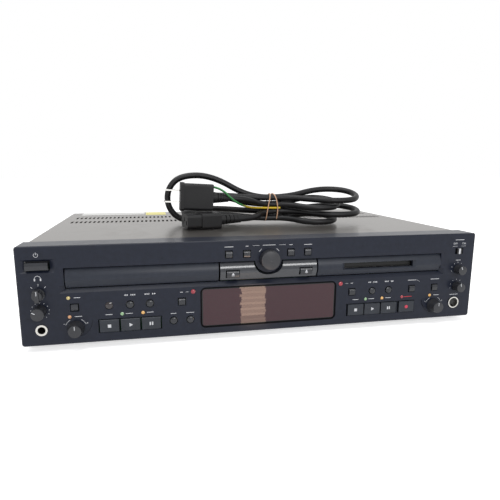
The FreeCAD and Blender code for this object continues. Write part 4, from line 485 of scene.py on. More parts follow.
@dataclass
class Stencil:
    """Flat marks printed on one body, in one thin raised mesh that is open until it is built."""

    name: str
    body: str
    face: float = 0.0
    thick: float = 0.1
    item: Item = field(init=False)

    def __post_init__(self) -> None:
        """Start an empty mesh and open it."""
        self.item = bpy.data.objects.new(self.name, bpy.data.meshes.new(self.name))
        bpy.context.scene.collection.objects.link(self.item)
        pick(self.item)
        bpy.ops.object.mode_set(mode="EDIT")

    def bar(self, x: float, z: float, width: float, height: float, turn: float = 0.0) -> None:
        """A straight bar.

        Args:
            x: Its middle.
            z: Its middle.
            width: Along X before it is turned.
            height: Along Z before it is turned.
            turn: In degrees, clockwise as seen from the front.
        """
        middle = at(x, self.face, z)
        bpy.ops.mesh.primitive_cube_add(size=MM, location=middle)
        bpy.ops.transform.resize(value=(width, self.thick, height), center_override=middle)
        if turn:
            bpy.ops.transform.rotate(value=-math.radians(turn), orient_axis="Y", center_override=middle)

    def disc(self, x: float, z: float, radius: float, corners: int = 14, turn: float = 0.0) -> None:
        """A round dot, or with three corners a triangle that points up.

        Args:
            x: Its middle.
            z: Its middle.
            radius: Its radius.
            corners: How many corners its edge has.
            turn: In degrees, clockwise as seen from the front.
        """
        place, turned = at(x, self.face, z), (math.pi / 2, math.radians(turn), 0)
        bpy.ops.mesh.primitive_cylinder_add(
            vertices=corners, radius=radius * MM, depth=self.thick * MM, location=place, rotation=turned
        )

    def arc(self, x: float, z: float, radius: float, start: float, end: float, width: float = 0.35) -> None:
        """Part of a ring.

        Args:
            x: The ring's middle.
            z: The ring's middle.
            radius: The ring's radius.
            start: Where it starts, in degrees clockwise from the top.
            end: Where it ends.
            width: The line's width.
        """
        middle, edge = at(x, self.face, z), at(x + radius, self.face, z)
        bpy.ops.mesh.primitive_plane_add(size=MM, location=edge)
        bpy.ops.transform.resize(value=(width, self.thick, 1), center_override=edge)
        bpy.ops.transform.rotate(value=math.radians(90 - start), orient_axis="Y", center_override=middle)
        sweep = math.radians(end - start)
        bpy.ops.mesh.spin(steps=max(4, int(sweep * 8)), angle=-sweep, center=middle, axis=(0, 1, 0))

    def row(self, z: float, *dashes: Pair, height: float = 0.5) -> None:
        """A row of dashes, each given by its middle along X and its width."""
        for x, width in dashes:
            self.bar(x, z, width, height)

    def dots_round(self, x: float, z: float, radius: float, count: int, reach: float) -> None:
        """A ring of dots round a knob, open at the bottom.

        Args:
            x: The knob's middle.
            z: The knob's middle.
            radius: The ring's radius.
            count: How many dots it has.
            reach: How far it goes to each side of the top, in degrees.
        """
        for place in range(count):
            angle = math.radians(-reach + 2 * reach * place / (count - 1))
            self.disc(x + radius * math.sin(angle), z + radius * math.cos(angle), 0.32)

    def skip(self, x: float, z: float, side: int) -> None:
        """The doubled arrows over a skip button.

        Args:
            x: The button's middle.
            z: The arrows' middle.
            side: -1 where they point left, 1 where they point right.
        """
        for shift in (-3.9, -2.2, 2.6, 4.3):
            self.disc(x + shift, z, 0.95, 3, 90.0 * side)
        self.bar(x + (1.4 if side < 0 else -1.0), z, 0.3, 1.5)
        self.bar(x + 0.1 - 0.6 * side, z, 0.25, 1.9, 20.0)

    def build(self, finish: Finish) -> Item:
        """Close the mesh and give it its ink.

        Args:
            finish: The ink.

        Returns:
            The piece, riding on its body.
        """
        bpy.ops.mesh.select_all(action="SELECT")
        bpy.ops.mesh.remove_doubles(threshold=1e-7)
        close_mesh()
        return settle(self.item, self.name, finish.make(), self.body)


def word(text: str, x: float, z: float) -> None:
    """A short word in plain letters on the panel.

    Args:
        text: The word, which also names the piece.
        x: Its middle.
        z: Its middle.
    """
    start_clean()
    bpy.ops.object.text_add(location=at(x, -LETTER_HALF, z), rotation=(math.pi / 2, 0, 0))
    data = bpy.context.object.data
    data.body = text
    data.size = LETTER_SIZE * MM
    data.extrude = LETTER_HALF * MM
    data.align_x = data.align_y = "CENTER"
    bpy.ops.object.convert(target="MESH")
    settle(bpy.context.object, "word_" + text.lower(), PALE_INK.make(), "deck")


# Camera, lamps and floor


@dataclass
class Studio:
    """The camera, the soft lamps and the pale floor."""

    place: Place = (-0.10663, -0.54528, 0.15938)
    yaw: float = 12.103
    pitch: float = 10.775
    roll: float = 0.206
    lens: float = 32.68
    shift: Pair = (0.0051, 0.0073)
    floor_size: float = 12.0
    strip_count: int = 14
    strip_pitch: float = 0.0029
    strip_height: float = 0.0028
    strip_place: float = -0.178
    strip_ends: Pair = (-0.0195, 0.0062)
    strip_glow: Pair = (5.0, 8.0)  # of the lowest strips and of the rest
    dim_strips: int = 3
    target: Place = (0, 0, 0.05)

    def camera(self) -> None:
        """Set the camera at the photograph's place."""
        yaw, pitch, roll = (math.radians(value) for value in (self.yaw, self.pitch, self.roll))
        ahead = Vector((math.sin(yaw) * math.cos(pitch), math.cos(yaw) * math.cos(pitch), -math.sin(pitch)))
        right = Vector((math.cos(yaw), -math.sin(yaw), 0))
        above = right.cross(ahead)
        turned = right * math.cos(roll) + above * math.sin(roll)
        above = above * math.cos(roll) - right * math.sin(roll)
        start_clean()
        bpy.ops.object.camera_add()
        camera = bpy.context.object
        axes = Matrix((turned, above, -ahead)).transposed().to_4x4()
        camera.matrix_world = Matrix.Translation(self.place) @ axes
        camera.data.lens = self.lens
        camera.data.sensor_width = 36
        camera.data.shift_x, camera.data.shift_y = self.shift
        camera.data.clip_start = 0.01
        bpy.context.scene.camera = camera

    def world(self) -> None:
        """A white surround: full white where it is seen or mirrored, softer as a lamp."""
        world = bpy.data.worlds.new("studio")
        bpy.context.scene.world = world
        nodes, shader = open_tree(world, "Background")
        nodes.feed(shader, {"Color": nodes.mix(nodes.seen(), (0.5, 0.5, 0.51), (1, 1, 1))})

    def floor(self) -> None:
        """A pale floor that keeps the shadow and is white where it is seen."""
        start_clean()
        bpy.ops.mesh.primitive_plane_add(size=self.floor_size, location=(0, 0, 0))
        floor = bpy.context.object
        floor.name = "floor"
        material = bpy.data.materials.new("pale_floor")
        nodes, shader = open_tree(material, "Principled BSDF")
        glow = nodes.mix(nodes.seen(), (0, 0, 0), (0.62, 0.62, 0.62))
        nodes.feed(shader, {"Base Color": (0.88, 0.88, 0.88, 1), "Roughness": 0.9, "Specular IOR Level": 0.1})
        nodes.feed(shader, {"Emission Color": glow, "Emission Strength": 1})
        floor.data.materials.append(material)

    def lamp(self, name: str, place: Place, size: Pair, power: float, colour: Colour = (1, 1, 1)) -> Item:
        """One soft rectangular lamp that faces the deck.

        Args:
            name: The lamp's name.
            place: Where it hangs.
            size: Its width and height in metres.
            power: In watts.
            colour: The light's colour.

        Returns:
            The lamp.
        """
        start_clean()
        bpy.ops.object.light_add(type="AREA", location=place)
        lamp = bpy.context.object
        lamp.name = name
        lamp.data.shape = "RECTANGLE"
        lamp.data.size, lamp.data.size_y = size
        lamp.data.energy = power
        lamp.data.color = colour
        aim = Vector(self.target) - Vector(place)
        lamp.rotation_euler = aim.to_track_quat("-Z", "Y").to_euler()
        return lamp

    def low_lamps(self) -> None:
        """Warm strips close before the deck, mirrored in the window as a streaky upright band."""
        for row in range(self.strip_count):
            left = self.strip_ends[0] + 0.0014 * math.sin(2.3 * row) + 0.0009 * math.sin(4.1 * row)
            right = self.strip_ends[1] + 0.0007 * math.sin(1.7 * row + 1)
            low, high = self.strip_glow
            glow = (low if row < self.dim_strips else high) + 1.1 * math.sin(2.9 * row)
            place = ((left + right) / 2, self.strip_place, 0.002 + self.strip_pitch * row)
            size = (right - left, self.strip_height)
            power = math.pi * size[0] * size[1] * glow
            strip = self.lamp(f"low_lamp_{row}", place, size, power, colour=(1.0, 0.7, 0.5))
            strip.rotation_euler = (math.pi / 2, 0, 0)
            strip.visible_camera = False
            strip.visible_diffuse = False

    def build(self) -> None:
        """Set up the whole studio."""
        bpy.context.scene.view_settings.view_transform = "Standard"
        self.camera()
        self.world()
        self.floor()
        self.lamp("roof_lamp", place=(-0.3, -0.3, 1.6), size=(1.4, 1.2), power=16)
        self.lamp("front_lamp", place=(0.3, -1.5, 0.66), size=(0.9, 0.25), power=7)
        self.low_lamps()


# Mains lead

LEFT = Vector((-1, 0, 0))
RIGHT = Vector((1, 0, 0))


@dataclass
class Lead:
    """The mains lead: a hank of four folds at the right and three at the left, tied at its waist."""

    radius: float = 3.5
    length: float = 1.753
    waist_place: Place = (36, 128, 94)
    column_half: float = 3.95
    row_pitch: float = 8
    fold_radius: float = 23.0
    fold_depth: float = 120
    fold_tilt: Pair = (6, 2.67)
    fold_height: Pair = (90.9, 8.2)
    reaches: tuple[float, ...] = (112, 141.5, 115.5, 139.5)
    tall_radius: float = 26.5
    tall_fold: Place = (-60, 137, 117.4)
    high_fold: Place = (-44, 151, 119.5)
    low_fold: Place = (-44, 151, 100.5)
    left_tilts: tuple[float, ...] = (-4, 86, 3)  # of the high, the tall and the low fold
    plug_end: Place = (-20, 107.5, 119)
    plug_heading: Place = (1, 0, -0.05)
    connector_end: Place = (-7, 102.4, 96)
    connector_heading: Place = (-1, -0.2, 0)
    straight: float = 7.5
    band_radius: float = 0.65
    band_section: tuple[Pair, ...] = (
        (119.3, 92.5), (118.2, 106), (119.4, 120.5), (128, 123),
        (136.4, 121), (136.8, 106), (136.6, 92.5), (128, 89.6),
    )
    left_band: tuple[float, ...] = (27.5, 29.5, 32.5, 34, 33.5, 32, 29.5, 28)
    right_band: tuple[float, ...] = (40.5, 42, 39, 37, 37.5, 39, 41.5, 41)
    earth_radius: float = 1.2
    earth_places: tuple[Place, ...] = (
        (-36.8, 107.5, 131.5), (-28, 104, 130), (-14.5, 101.2, 116),
        (0, 110, 109), (17, 120, 106.2), (45, 120.3, 106),
    )
    earth_share: float = 0.975  # of its straight legs, because the curve rounds their corners
    earth_border: Pair = (-0.118, -0.092)  # where green turns to yellow, in metres
    points: list[Vector] = field(default_factory=list)
    end: Vector = field(default_factory=Vector)
    heading: Vector = field(default_factory=Vector)

    def waist(self, side: int, row: int) -> Vector:
        """One strand's place in the waist, in the front column (-1) or the back one, rows from 0."""
        x, y, z = self.waist_place
        return Vector((x, y + side * self.column_half, z + self.row_pitch * row))

    def to(self, place: Vector, heading: Vector) -> None:
        """Go on to a place that is reached with a heading.

        Args:
            place: The next place.
            heading: The direction there.
        """
        heading = heading.normalized()
        run = place - self.end
        both = self.heading + heading
        bend = 2 * (1 - self.heading.dot(heading))
        if abs(bend) < 1e-9:
            reach = run.dot(run) / (4 * run.dot(heading))
        else:
            along = run.dot(both)
            reach = (math.sqrt(along * along + bend * run.dot(run)) - along) / bend
        self.points += [self.end + self.heading * reach, place - heading * reach]
        self.end, self.heading = place, heading

    def fold(self, middle: Vector, radius: float, first: Vector, out: Vector, slot: Vector) -> None:
        """Go out, round half a turn and back to a place in the waist.

        Args:
            middle: The half turn's middle.
            radius: Its radius.
            first: The direction from the middle to where the turn starts.
            out: The direction out of the waist.
            slot: The place in the waist to come back to.
        """
        self.to(middle + first * radius, out)
        wide = radius / math.cos(math.radians(22.5))
        for degrees in (22.5, 67.5, 112.5, 157.5):
            angle = math.radians(degrees)
            self.points.append(middle + (first * math.cos(angle) + out * math.sin(angle)) * wide)
        self.end, self.heading = middle - first * radius, -out
        self.to(slot, -out)

    def leaning(self, degrees: float) -> Vector:
        """A direction across the waist, tilted up by some degrees."""
        return Vector((0, math.cos(math.radians(degrees)), math.sin(math.radians(degrees))))

    def right_fold(self, row: int, side: int) -> None:
        """A fold at the right that goes back in the other column of its row.

        Args:
            row: The strand's row.
            side: The column that it leaves, -1 for the front one.
        """
        tilt, height = (first + step * row for first, step in (self.fold_tilt, self.fold_height))
        high = height + self.fold_radius * math.sin(math.radians(tilt))
        middle = Vector((self.reaches[row] - self.fold_radius, self.fold_depth, high))
        self.fold(middle, self.fold_radius, self.leaning(tilt) * side, RIGHT, self.waist(-side, row))

    def route(self) -> list[Vector]:
        """The route from the plug to the connector.

        Returns:
            The route's points.
        """
        front, back = -1, 1
        high, tall, low = (self.leaning(tilt) for tilt in self.left_tilts)
        start = Vector(self.plug_end)
        self.points = [start]
        self.heading = Vector(self.plug_heading).normalized()
        self.end = start + self.heading * self.straight
        self.to(self.waist(front, 2), RIGHT)
        self.right_fold(2, front)
        self.fold(Vector(self.high_fold), self.fold_radius, high, LEFT, self.waist(front, 3))
        self.right_fold(3, front)
        self.fold(Vector(self.tall_fold), self.tall_radius, tall, LEFT, self.waist(back, 0))
        self.right_fold(0, back)
        self.fold(Vector(self.low_fold), self.fold_radius, -low, LEFT, self.waist(back, 1))
        self.right_fold(1, back)
        heading = Vector(self.connector_heading).normalized()
        last = Vector(self.connector_end)
        self.to(last - heading * self.straight, heading)
        self.points.append(last)
        return self.points

    def curve(self, name: str, points: list[Vector], radius: float) -> Item:
        """A smooth cord with the route's points as its control points.

        Args:
            name: The cord's name.
            points: The route.
            radius: The cord's radius.

        Returns:
            The cord.
        """
        data = bpy.data.curves.new(name, "CURVE")
        data.dimensions = "3D"
        data.bevel_depth = radius * MM
        data.bevel_resolution = 5
        data.resolution_u = 10
        data.use_fill_caps = True
        spline = data.splines.new("NURBS")
        spline.points.add(len(points) - 1)
        for point, place in zip(spline.points, points):
            point.co = (*at(*place), 1)
        spline.order_u = 3
        spline.use_endpoint_u = True
        item = bpy.data.objects.new(name, data)
        bpy.context.scene.collection.objects.link(item)
        return item

    def band(self, name: str, across: tuple[float, ...]) -> Item:
        """A stretched rubber band round the waist.

        Args:
            name: The band's name.
            across: The X of each place that it passes.

        Returns:
            The band, riding on the lead.
        """
        places = [Vector((x, y, z)) for x, (y, z) in zip(across, self.band_section)]
        item = self.curve(name, places, self.band_radius)
        item.data.splines[0].use_endpoint_u = False
        item.data.splines[0].use_cyclic_u = True
        item.data.bevel_resolution = 3
        pick(item)
        bpy.ops.object.convert(target="MESH")
        tan = Finish("band_rubber", (0.62, 0.38, 0.24), rough=0.5, grain=900, tone=0.2, depth=0.2)
        return settle(bpy.context.object, name, tan.make(), "mains_lead")

    def cord(self, name: str, points: list[Vector], radius: float, rubber: Material) -> Item:
        """A finished cord, riding on the lead.

        Args:
            name: The cord's name.
            points: The route.
            radius: The cord's radius.
            rubber: Its material.

        Returns:
            The cord.
        """
        cord = self.curve(name, points, radius)
        cord.data.materials.append(rubber)
        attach(cord, "mains_lead")
        return cord

    def build(self) -> None:
        """Lay the hank, its two bands and its earth wire."""
        black = Finish(
            "lead_rubber", (0.006, 0.006, 0.007), rough=0.4, specular=0.3, grain=1800, depth=0.1, smudge=0.15
        )
        lead = self.cord("mains_lead_cord", self.route(), self.radius, black.make())
        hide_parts("mains_cord")
        sides = {"rubber_band_left": self.left_band, "rubber_band_right": self.right_band}
        bands = [self.band(name, across) for name, across in sides.items()]
        self.earth_wire()

    def earth_wire(self) -> None:
        """The short green and yellow wire from the plug's back to the bands."""
        places = [Vector(place) for place in self.earth_places]
        wire = self.cord("earth_wire", places, self.earth_radius, self.earth_material())

    def earth_material(self) -> Material:
        """Green that turns to yellow along the wire, with an uneven border.

        Returns:
            The wire's material.
        """
        material = Finish("earth_insulation", (0.6, 0.42, 0.02), rough=0.35, tone=0.1, depth=0.05).make()
        nodes, shader = open_tree(material, "Principled BSDF")
        point = nodes.add("ShaderNodeTexCoord").outputs["Object"]
        parts = nodes.add("ShaderNodeSeparateXYZ", {0: point})
        slant = nodes.math("ADD", parts.outputs[0], nodes.math("MULTIPLY", parts.outputs[1], 3.0))
        limits = {"Value": slant, "From Min": self.earth_border[0], "From Max": self.earth_border[1]}
        edge = nodes.add("ShaderNodeMapRange", limits, interpolation_type="SMOOTHSTEP")
        yellow = shader.inputs["Base Color"].links[0].from_socket
        nodes.feed(shader, {"Base Color": nodes.mix(edge.outputs[0], (0.03, 0.2, 0.05), yellow)})
        return material


# Front panel


@dataclass
class FrontPanel:
    """The panel with its trim, its slot plate, its lamps, its sockets and its printed marks."""

    left_x: float = -202.0
    right_x: float = 201.2
    pitch_x: Pair = (-173.8, 176.2)
    upper_row: float = 41.8
    lower_row: float = 24.8
    dial: Pair = (0.2, 69.5)
    window_place: Pair = (2.0, 25.65)
    window_half: Pair = (65.8, 18.65)
    window_corner: float = 4.3
    window_edge: float = 1.4
    hair: float = 0.22
    lamp_half: Place = (3, 9, 3)
    mark_face: float = -0.02
    panel: Finish = Finish("panel_charcoal", INK, rough=0.3, specular=0.2, grain=2600, depth=0.2, tone=0.2)
    band: Finish = Finish(
        "band_charcoal", (0.02, 0.024, 0.035), rough=0.34, specular=0.25, grain=2600, depth=0.12, tone=0.15
    )
    trim: Finish = Finish(
        "trim_charcoal", (0.02, 0.023, 0.03), rough=0.14, coat=0.5, grain=2600, depth=0.05,
        tone=0.12,
    )

    def lamps(self) -> None:
        """Tinted lenses: amber, green and red, and the dark sensor."""
        upper, lower = self.upper_row, self.lower_row
        patches = [
            Patch(at(x, 0, z), self.lamp_half, colour, rough=0.18)
            for x, z, colour in (
                (-134.4, lower, GREEN), (100.1, lower, GREEN), (-71, upper, RED), (73, upper, DARK_RED),
                (140, lower, DARK_RED), (-178.7, upper, (0.62, 0.5, 0.2)), (-178.6, lower, (0.6, 0.3, 0.14)),
            )
        ]
        patches.append(Patch(at(-145.2, 0, 33), (4.5, 9, 4.5), (0.012, 0.006, 0.008), rough=0.1))
        tints = tuple(patches)
        lenses = Finish("lamp_lenses", AMBER, rough=0.2, coat=0.5, depth=0.03, tone=0.1, patches=tints)
        dress(lenses, "lamp_lenses")

    def sockets(self) -> None:
        """The phones jack and the keyboard socket with their bright rings."""
        patches = []
        for x, z, outer, inner in ((self.left_x, 14.3, 4.95, 3.25), (199.3, 15.7, 5.95, 4.75)):
            patches.append(Patch(at(x, 0, z), (outer, 0, 0), BRIGHT, rough=0.25, metal=1.0, form=Form.ROUND))
            patches.append(Patch(at(x, 0, z), (inner, 0, 0), BLACK, form=Form.ROUND))
            patches.append(Patch(at(x, 16.5, z), (9, 14, 9), BLACK, rough=0.5))
        dress(Finish("front_socket_parts", BLACK, patches=tuple(patches)), "front_sockets")

    def window(self) -> None:
        """The smoky plum lens and its black edge."""
        x, z = self.window_place
        border = Patch(at(x, 0, z), (80, 9, 30), (0.006, 0.006, 0.007), rough=0.07)
        clear = Patch(at(x, 0, z), (64.2, 9, 17.2), LENS, rough=0.05)
        lens = Finish(
            "plum_lens", LENS, rough=0.05, specular=0.35, grain=300, depth=0.04,
            tone=0.12, smudge=0.05, streaks=1.5, patches=(border, clear),
        )
        dress(lens, "display_window")
        edge = Stencil("window_edge", "deck", face=self.mark_face)
        wide, high = self.window_half
        corner, width = self.window_corner, self.window_edge
        for side, up, start in ((-1, 1, 270), (1, 1, 0), (-1, -1, 180), (1, -1, 90)):
            edge.arc(x + side * (wide - corner), z + up * (high - corner), corner, start, start + 90, width)
        for side in (-1, 1):
            edge.bar(x, z + side * high, 2 * (wide - corner), width)
            edge.bar(x + side * wide, z, width, 2 * (high - corner))
        edge.build(Finish("edge_black", (0.004, 0.004, 0.005), rough=0.8, specular=0.05))

    def left_marks(self, marks: Stencil) -> None:
        """Print the left column and the disc controls.

        Args:
            marks: The open print.
        """
        x = self.left_x
        marks.arc(x, 80.3, 1.7, 35, 325)
        marks.bar(x, 81.6, 0.4, 2.0)
        marks.arc(x, 60, 2.4, -90, 90)
        marks.row(59.2, (x - 2.4, 1.1), (x + 2.4, 1.1), height=2.2)
        for turn in (-42, 0, 42):
            angle = math.radians(turn)
            marks.bar(x + 8.1 * math.sin(angle), 46.5 + 8.1 * math.cos(angle), 0.4, 1.8, turn)
        marks.dots_round(x, 31.5, 7.4, 11, 140)
        marks.skip(-127.2, self.upper_row, -1)
        marks.skip(-109.8, self.upper_row, 1)
        marks.row(self.upper_row, (-171.5, 5.2), (-81.5, 2.4))
        marks.row(self.upper_row, (-76.5, 2.6), height=self.hair)
        marks.row(self.lower_row, (-145.6, 6), (-128.2, 6), (-110, 6))
        marks.row(22.2, (-89.2, 5), (-74, 7))

    def middle_marks(self, marks: Stencil) -> None:
        """Print the marks round the dial.

        Args:
            marks: The open print.
        """
        x, z = self.dial
        marks.row(82, (-37.7, 8), (38.1, 8))
        marks.row(82.2, (-20.9, 2.6), (21.3, 3.2))
        marks.row(82.6, (x, 12))
        marks.row(82.5, (-12.5, 6.5), (12.9, 6.5), height=self.hair)
        for start in (-53, 37):
            marks.arc(x, z, 11.9, start, start + 16, 0.45)

    def right_marks(self, marks: Stencil) -> None:
        """Print the minidisc controls and the right column.

        Args:
            marks: The open print.
        """
        x = self.right_x
        marks.skip(106.7, self.upper_row, -1)
        marks.skip(124.5, self.upper_row, 1)
        marks.row(self.upper_row, (84.5, 2.4), (150.1, 9), (175.9, 9.5))
        marks.row(self.upper_row, (79.3, 2.6), height=self.hair)
        marks.bar(157, 40.8, 4.2, self.hair, 25)
        marks.row(self.lower_row, (89.3, 6), (106.3, 6), (124.5, 6))
        marks.row(81.5, (x, 10))
        marks.row(75, (x - 4.8, 5.4), (x + 4.8, 5.4), height=self.hair)
        marks.row(60.4, (x, 5.6))
        marks.row(24.2, (199.3, 9.5))
        for z in (51, 33):
            marks.dots_round(x, z, 7.1, 7, 105)

    def pitch_marks(self, marks: Stencil, x: float) -> None:
        """Print the arcs with minus and plus round a pitch knob, and its dash.

        Args:
            marks: The open print.
            x: The knob's middle.
        """
        marks.row(self.lower_row, (x + 2.5, 6))
        for start in (-68, 30):
            marks.arc(x, 14, 9.1, start, start + 38, 0.3)
        marks.row(18.5, (x - 9.6, 1.2), (x + 9.6, 1.2), height=0.3)
        marks.bar(x + 9.6, 18.5, 0.3, 1.2)

    def build(self) -> None:
        """Dress the panel's nodes and print its marks."""
        dress(self.panel, "front_panel")
        dress(self.band, "md_plate", "tray_front")
        dress(self.trim, "centre_trim")
        dress(Finish("flap_black", (0.008, 0.008, 0.008), rough=0.6), "md_flap")
        self.lamps()
        self.sockets()
        self.window()
        marks = Stencil("panel_marks", "deck", face=self.mark_face)
        self.left_marks(marks)
        self.middle_marks(marks)
        self.right_marks(marks)
        for x in self.pitch_x:
            self.pitch_marks(marks, x)
        marks.build(PALE_INK)
        red = Stencil("record_mark", "deck", face=self.mark_face)
        red.bar(146.5, self.lower_row, 8.5, 0.6)
        red.build(Finish("print_red", (0.5, 0.03, 0.04), rough=0.6, tone=0.08))
        word("OFF", 196.4, 77.6)
        word("ON", 206.2, 77.6)


# Controls


class Sign(Enum):
    """The signs on the buttons."""

    STOP = "stop"
    PLAY = "play"
    PAUSE = "pause"
    RECORD = "record"
    EJECT = "eject"


SIGNS = {
    "cd_stop_key": Sign.STOP,
    "cd_play_key": Sign.PLAY,
    "cd_ready_key": Sign.PAUSE,
    "md_stop_key": Sign.STOP,
    "md_play_key": Sign.PLAY,
    "md_ready_key": Sign.PAUSE,
    "record_key": Sign.RECORD,
    "open_close_button": Sign.EJECT,
    "eject_button": Sign.EJECT,
}
KNOBS = {  # how many ribs, the radius of the plain face, and the pointer's turn, start and end
    "jog_dial": (60, 8.2, None),
    "phones_source_knob": (30, 4.4, (0, 1.0, 4.6)),
    "phones_level_knob": (30, 4.6, (-60, 2.0, 4.8)),
    "input_left_knob": (26, 4.2, (-25, 1.4, 4.3)),
    "input_right_knob": (26, 4.2, (-10, 1.4, 4.3)),
    "cd_pitch_knob": (44, 5.2, (0, 1.6, 4.8)),
    "md_pitch_knob": (44, 5.2, (0, 1.6, 4.8)),
}


@dataclass
class Controls:
    """Buttons, keys, knobs, the dial and the slide switch."""

    sign_size: float = 2.9
    sign_lift: float = 0.06
    pointer_lift: float = 0.2
    button: Finish = Finish("button_charcoal", (0.022, 0.024, 0.029), rough=0.22, grain=2200, depth=0.1)
    key: Finish = Finish("key_charcoal", (0.022, 0.026, 0.034), rough=0.38, specular=0.3, grain=2400)

    def sign(self, node: str, sign: Sign) -> None:
        """Print one sign on a button's face.

        Args:
            node: The button's node.
            sign: What to print.
        """
        x, y, z = front_of(node)
        marks = Stencil(node + "_sign", node, face=y + self.sign_lift, thick=0.25)
        ink = PALE_INK
        if sign is Sign.STOP:
            marks.bar(x, z, self.sign_size, self.sign_size)
        elif sign is Sign.PLAY:
            marks.disc(x, z, 2.0, 3, 90)
        elif sign is Sign.PAUSE:
            marks.row(z, (x - 1.0, 1.2), (x + 1.0, 1.2), height=3.0)
        elif sign is Sign.RECORD:
            marks.disc(x, z, 1.7)
            ink = Finish("print_record", (0.6, 0.05, 0.09), rough=0.5, tone=0.08)
        else:
            marks.disc(x, z + 0.2, 1.5, 3)
            marks.bar(x, z - 1.3, 2.6, 0.5)
        marks.build(ink)

    def pointer(self, node: str, turn: float, inner: float, outer: float) -> None:
        """Print the pointer line on a knob's face.

        Args:
            node: The knob's node.
            turn: Where the pointer stands, in degrees clockwise from the top.
            inner: Where the line starts, from the knob's middle.
            outer: Where it ends.
        """
        x, y, z = front_of(node)
        angle = math.radians(turn)
        reach = (inner + outer) / 2
        marks = Stencil(node + "_pointer", node, face=y + self.pointer_lift, thick=0.5)
        marks.bar(x + reach * math.sin(angle), z + reach * math.cos(angle), 0.55, outer - inner, turn)
        marks.build(PALE_INK)

    def knob(self, node: str, ribs: int, inner: float) -> None:
        """Dress a knob in charcoal with fine ribs on its side.

        Args:
            node: The knob's node.
            ribs: How many ribs go round it.
            inner: The radius inside which its face is plain.
        """
        low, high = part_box(node)
        finish = Finish(
            node + "_charcoal", (0.02, 0.021, 0.025), rough=0.4, specular=0.45, grain=2200, depth=0.5,
            tone=0.15, flutes=ribs, flute_middle=(low + high) / 2, flute_inner=inner * MM,
        )
        dress(finish, node)

    def build(self) -> None:
        """Dress every control and print its signs."""
        dress(self.button, *[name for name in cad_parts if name.endswith("_button")])
        dress(self.key, *[name for name in SIGNS if name.endswith("_key")])
        for node, sign in SIGNS.items():
            self.sign(node, sign)
        for node, (ribs, inner, pointer) in KNOBS.items():
            self.knob(node, ribs, inner)
            if pointer:
                self.pointer(node, *pointer)
        line = Patch(at(201.2, 0, 69.8), (0.95, 9, 9), PRINT, rough=0.35)
        dress(Finish("switch_black", (0.02, 0.02, 0.022), rough=0.35, patches=(line,)), "cont_play_slider")
        shaft = Finish("shaft_grey", (0.35, 0.35, 0.35), rough=0.4)
        dress(shaft, "jog_shaft", "cd_pitch_shaft", "md_pitch_shaft")


# Cover, pan and rear


@dataclass
class Casing:
    """The cover, the pan, the feet, the screws and the rear sockets."""

    label_height: float = 87.05
    label_thick: float = 0.1
    phono_first: Pair = (10, 46)
    phono_pitch: Pair = (15, 19)
    paint: Finish = Finish(
        "cover_bronze", (0.2, 0.188, 0.175), rough=0.3, metal=0.85, specular=0.5, grain=2200, depth=0.12,
        tone=0.12, smudge=0.1, smudge_scale=14,
    )

    def sticker(self, name: str, across: Pair, deep: Pair, finish: Finish) -> None:
        """A thin plain label on the cover.

        Args:
            name: The label's name.
            across: Its left and right edges.
            deep: Its front and rear edges.
            finish: Its finish.
        """
        start_clean()
        middle = at(sum(across) / 2, sum(deep) / 2, self.label_height)
        size = ((across[1] - across[0]) * MM, (deep[1] - deep[0]) * MM, 1)
        bpy.ops.mesh.primitive_plane_add(size=1, location=middle)
        bpy.ops.transform.resize(value=size, center_override=middle)
        bpy.ops.object.transform_apply(location=True, rotation=True, scale=True)
        item = bpy.context.object
        bpy.ops.object.mode_set(mode="EDIT")
        bpy.ops.mesh.select_all(action="SELECT")
        bpy.ops.mesh.bevel(affect="VERTICES", offset=1.5 * MM, segments=3)
        bpy.ops.mesh.select_all(action="SELECT")
        bpy.ops.mesh.extrude_region_move(TRANSFORM_OT_translate={"value": (0, 0, self.label_thick * MM)})
        close_mesh()
        settle(item, name, finish.make(), "deck")

    def rear(self) -> None:
        """The rear sockets: coloured phono rings, the mains inlet and the port."""
        patches = []
        for column in range(4):
            for row in range(2):
                steps = zip(self.phono_first, self.phono_pitch, (column, row))
                x, z = (first + pitch * step for first, pitch, step in steps)
                ring = PHONO_WHITE if row else PHONO_RED
                place = at(x, 0, z)
                patches.append(Patch(place, (6.5, 400, 6.5), ring, rough=0.35))
                patches.append(Patch(place, (4.3, 0, 0), BRIGHT, rough=0.25, metal=1.0, form=Form.ROUND))
        dress(Finish("rear_socket_parts", (0.014, 0.014, 0.014), patches=tuple(patches)), "rear_sockets")

    def build(self) -> None:
        """Dress the casing's nodes and stick the labels on."""
        dress(self.paint, "top_cover")
        steel = Finish(
            "plated_steel", (0.42, 0.42, 0.41), rough=0.35, metal=0.9, grain=700, depth=0.08,
            tone=0.1, brushed=0.6,
        )
        dress(steel, "chassis")
        dress(Finish("foot_rubber_black", BLACK, rough=0.75, grain=1500, depth=0.4), "feet")
        dress(Finish("screw_black", (0.03, 0.03, 0.03), rough=0.35, metal=0.8), "screws")
        self.rear()
        pale = Finish("label_pale", (0.62, 0.62, 0.6), rough=0.35, tone=0.05)
        yellow = Finish("label_yellow", (0.75, 0.68, 0.2), rough=0.4, tone=0.05)
        self.sticker("cover_label_pale", (-200, -115), (257, 289), pale)
        self.sticker("cover_label_yellow", (-113, -85), (250, 289), yellow)


# Inside and the lead's ends


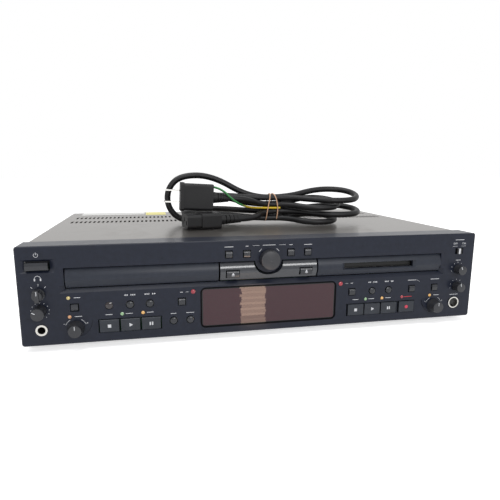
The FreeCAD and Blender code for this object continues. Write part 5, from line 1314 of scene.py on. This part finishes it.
@dataclass
class Inside:
    """The disc drawer's parts, the minidisc drive, the boards and the transformer."""

    def build(self) -> None:
        """Dress every inner node."""
        dress(Finish("tray_black", (0.02, 0.02, 0.022), rough=0.5, grain=1800, depth=0.3), "cd_tray")
        loader = Finish("loader_black", (0.03, 0.03, 0.033), rough=0.55, grain=1500, depth=0.3)
        dress(loader, "cd_loader_frame")
        dress(Finish("gear_natural", (0.75, 0.72, 0.62), rough=0.4), "tray_gear")
        dress(Finish("turntable_black", (0.02, 0.02, 0.02), rough=0.4), "cd_turntable")
        lens = Patch(at(-113.8, 72, 60), (4, 0, 0), (0.05, 0.06, 0.12), rough=0.05, form=Form.ROUND)
        dress(Finish("pickup_grey", (0.12, 0.12, 0.13), rough=0.4, metal=0.3, patches=(lens,)), "cd_pickup")
        drive = Finish("drive_casing", (0.4, 0.4, 0.41), rough=0.35, metal=0.9, brushed=0.5, tone=0.1)
        dress(drive, "md_drive")
        parts = (
            Patch(at(0, 17, 45), (230, 9, 60), (0.03, 0.03, 0.032), rough=0.5),
            Patch(at(0, 12.8, 45), (230, 0.85, 60), (0.03, 0.12, 0.06), rough=0.35),
        )
        board = Finish("board_green", (0.03, 0.14, 0.07), rough=0.35, grain=900, patches=parts)
        dress(board, "circuit_boards")
        copper = Patch(at(-109, 257, 32), (21, 22, 18), (0.42, 0.16, 0.06), rough=0.3, metal=0.6)
        varnish = (0.08, 0.07, 0.06)
        core = Finish("core_varnish", varnish, rough=0.4, metal=0.5, brushed=0.7, patches=(copper,))
        dress(core, "power_transformer")


@dataclass
class LeadEnds:
    """The plug and the appliance connector."""

    def build(self) -> None:
        """Dress both ends of the lead."""
        blades = Patch(at(-83, 107.5, 119), (8.2, 30, 40), (0.72, 0.71, 0.68), rough=0.2, metal=1.0)
        plug = Finish(
            "plug_moulded", (0.008, 0.008, 0.009), rough=0.5, specular=0.3, grain=1600, depth=0.4,
            smudge=0.12, patches=(blades,),
        )
        dress(plug, "mains_plug")
        dark = (0.007, 0.007, 0.008)
        moulded = Finish("connector_moulded", dark, specular=0.3, grain=1600, depth=0.3)
        dress(moulded, "appliance_connector")


def main() -> None:
    """Build the studio, then the deck piece by piece."""
    for make in (grain_group, smudge_group, region_group, round_group, flutes_group, brushed_group):
        make()
    for part in (Studio(), Lead(), LeadEnds(), FrontPanel(), Controls(), Casing(), Inside()):
        part.build()
        LOG.info("built %s", type(part).__name__)


if __name__ == "__main__":
    logging.basicConfig(level=logging.INFO, format="%(name)s: %(message)s")
    main()
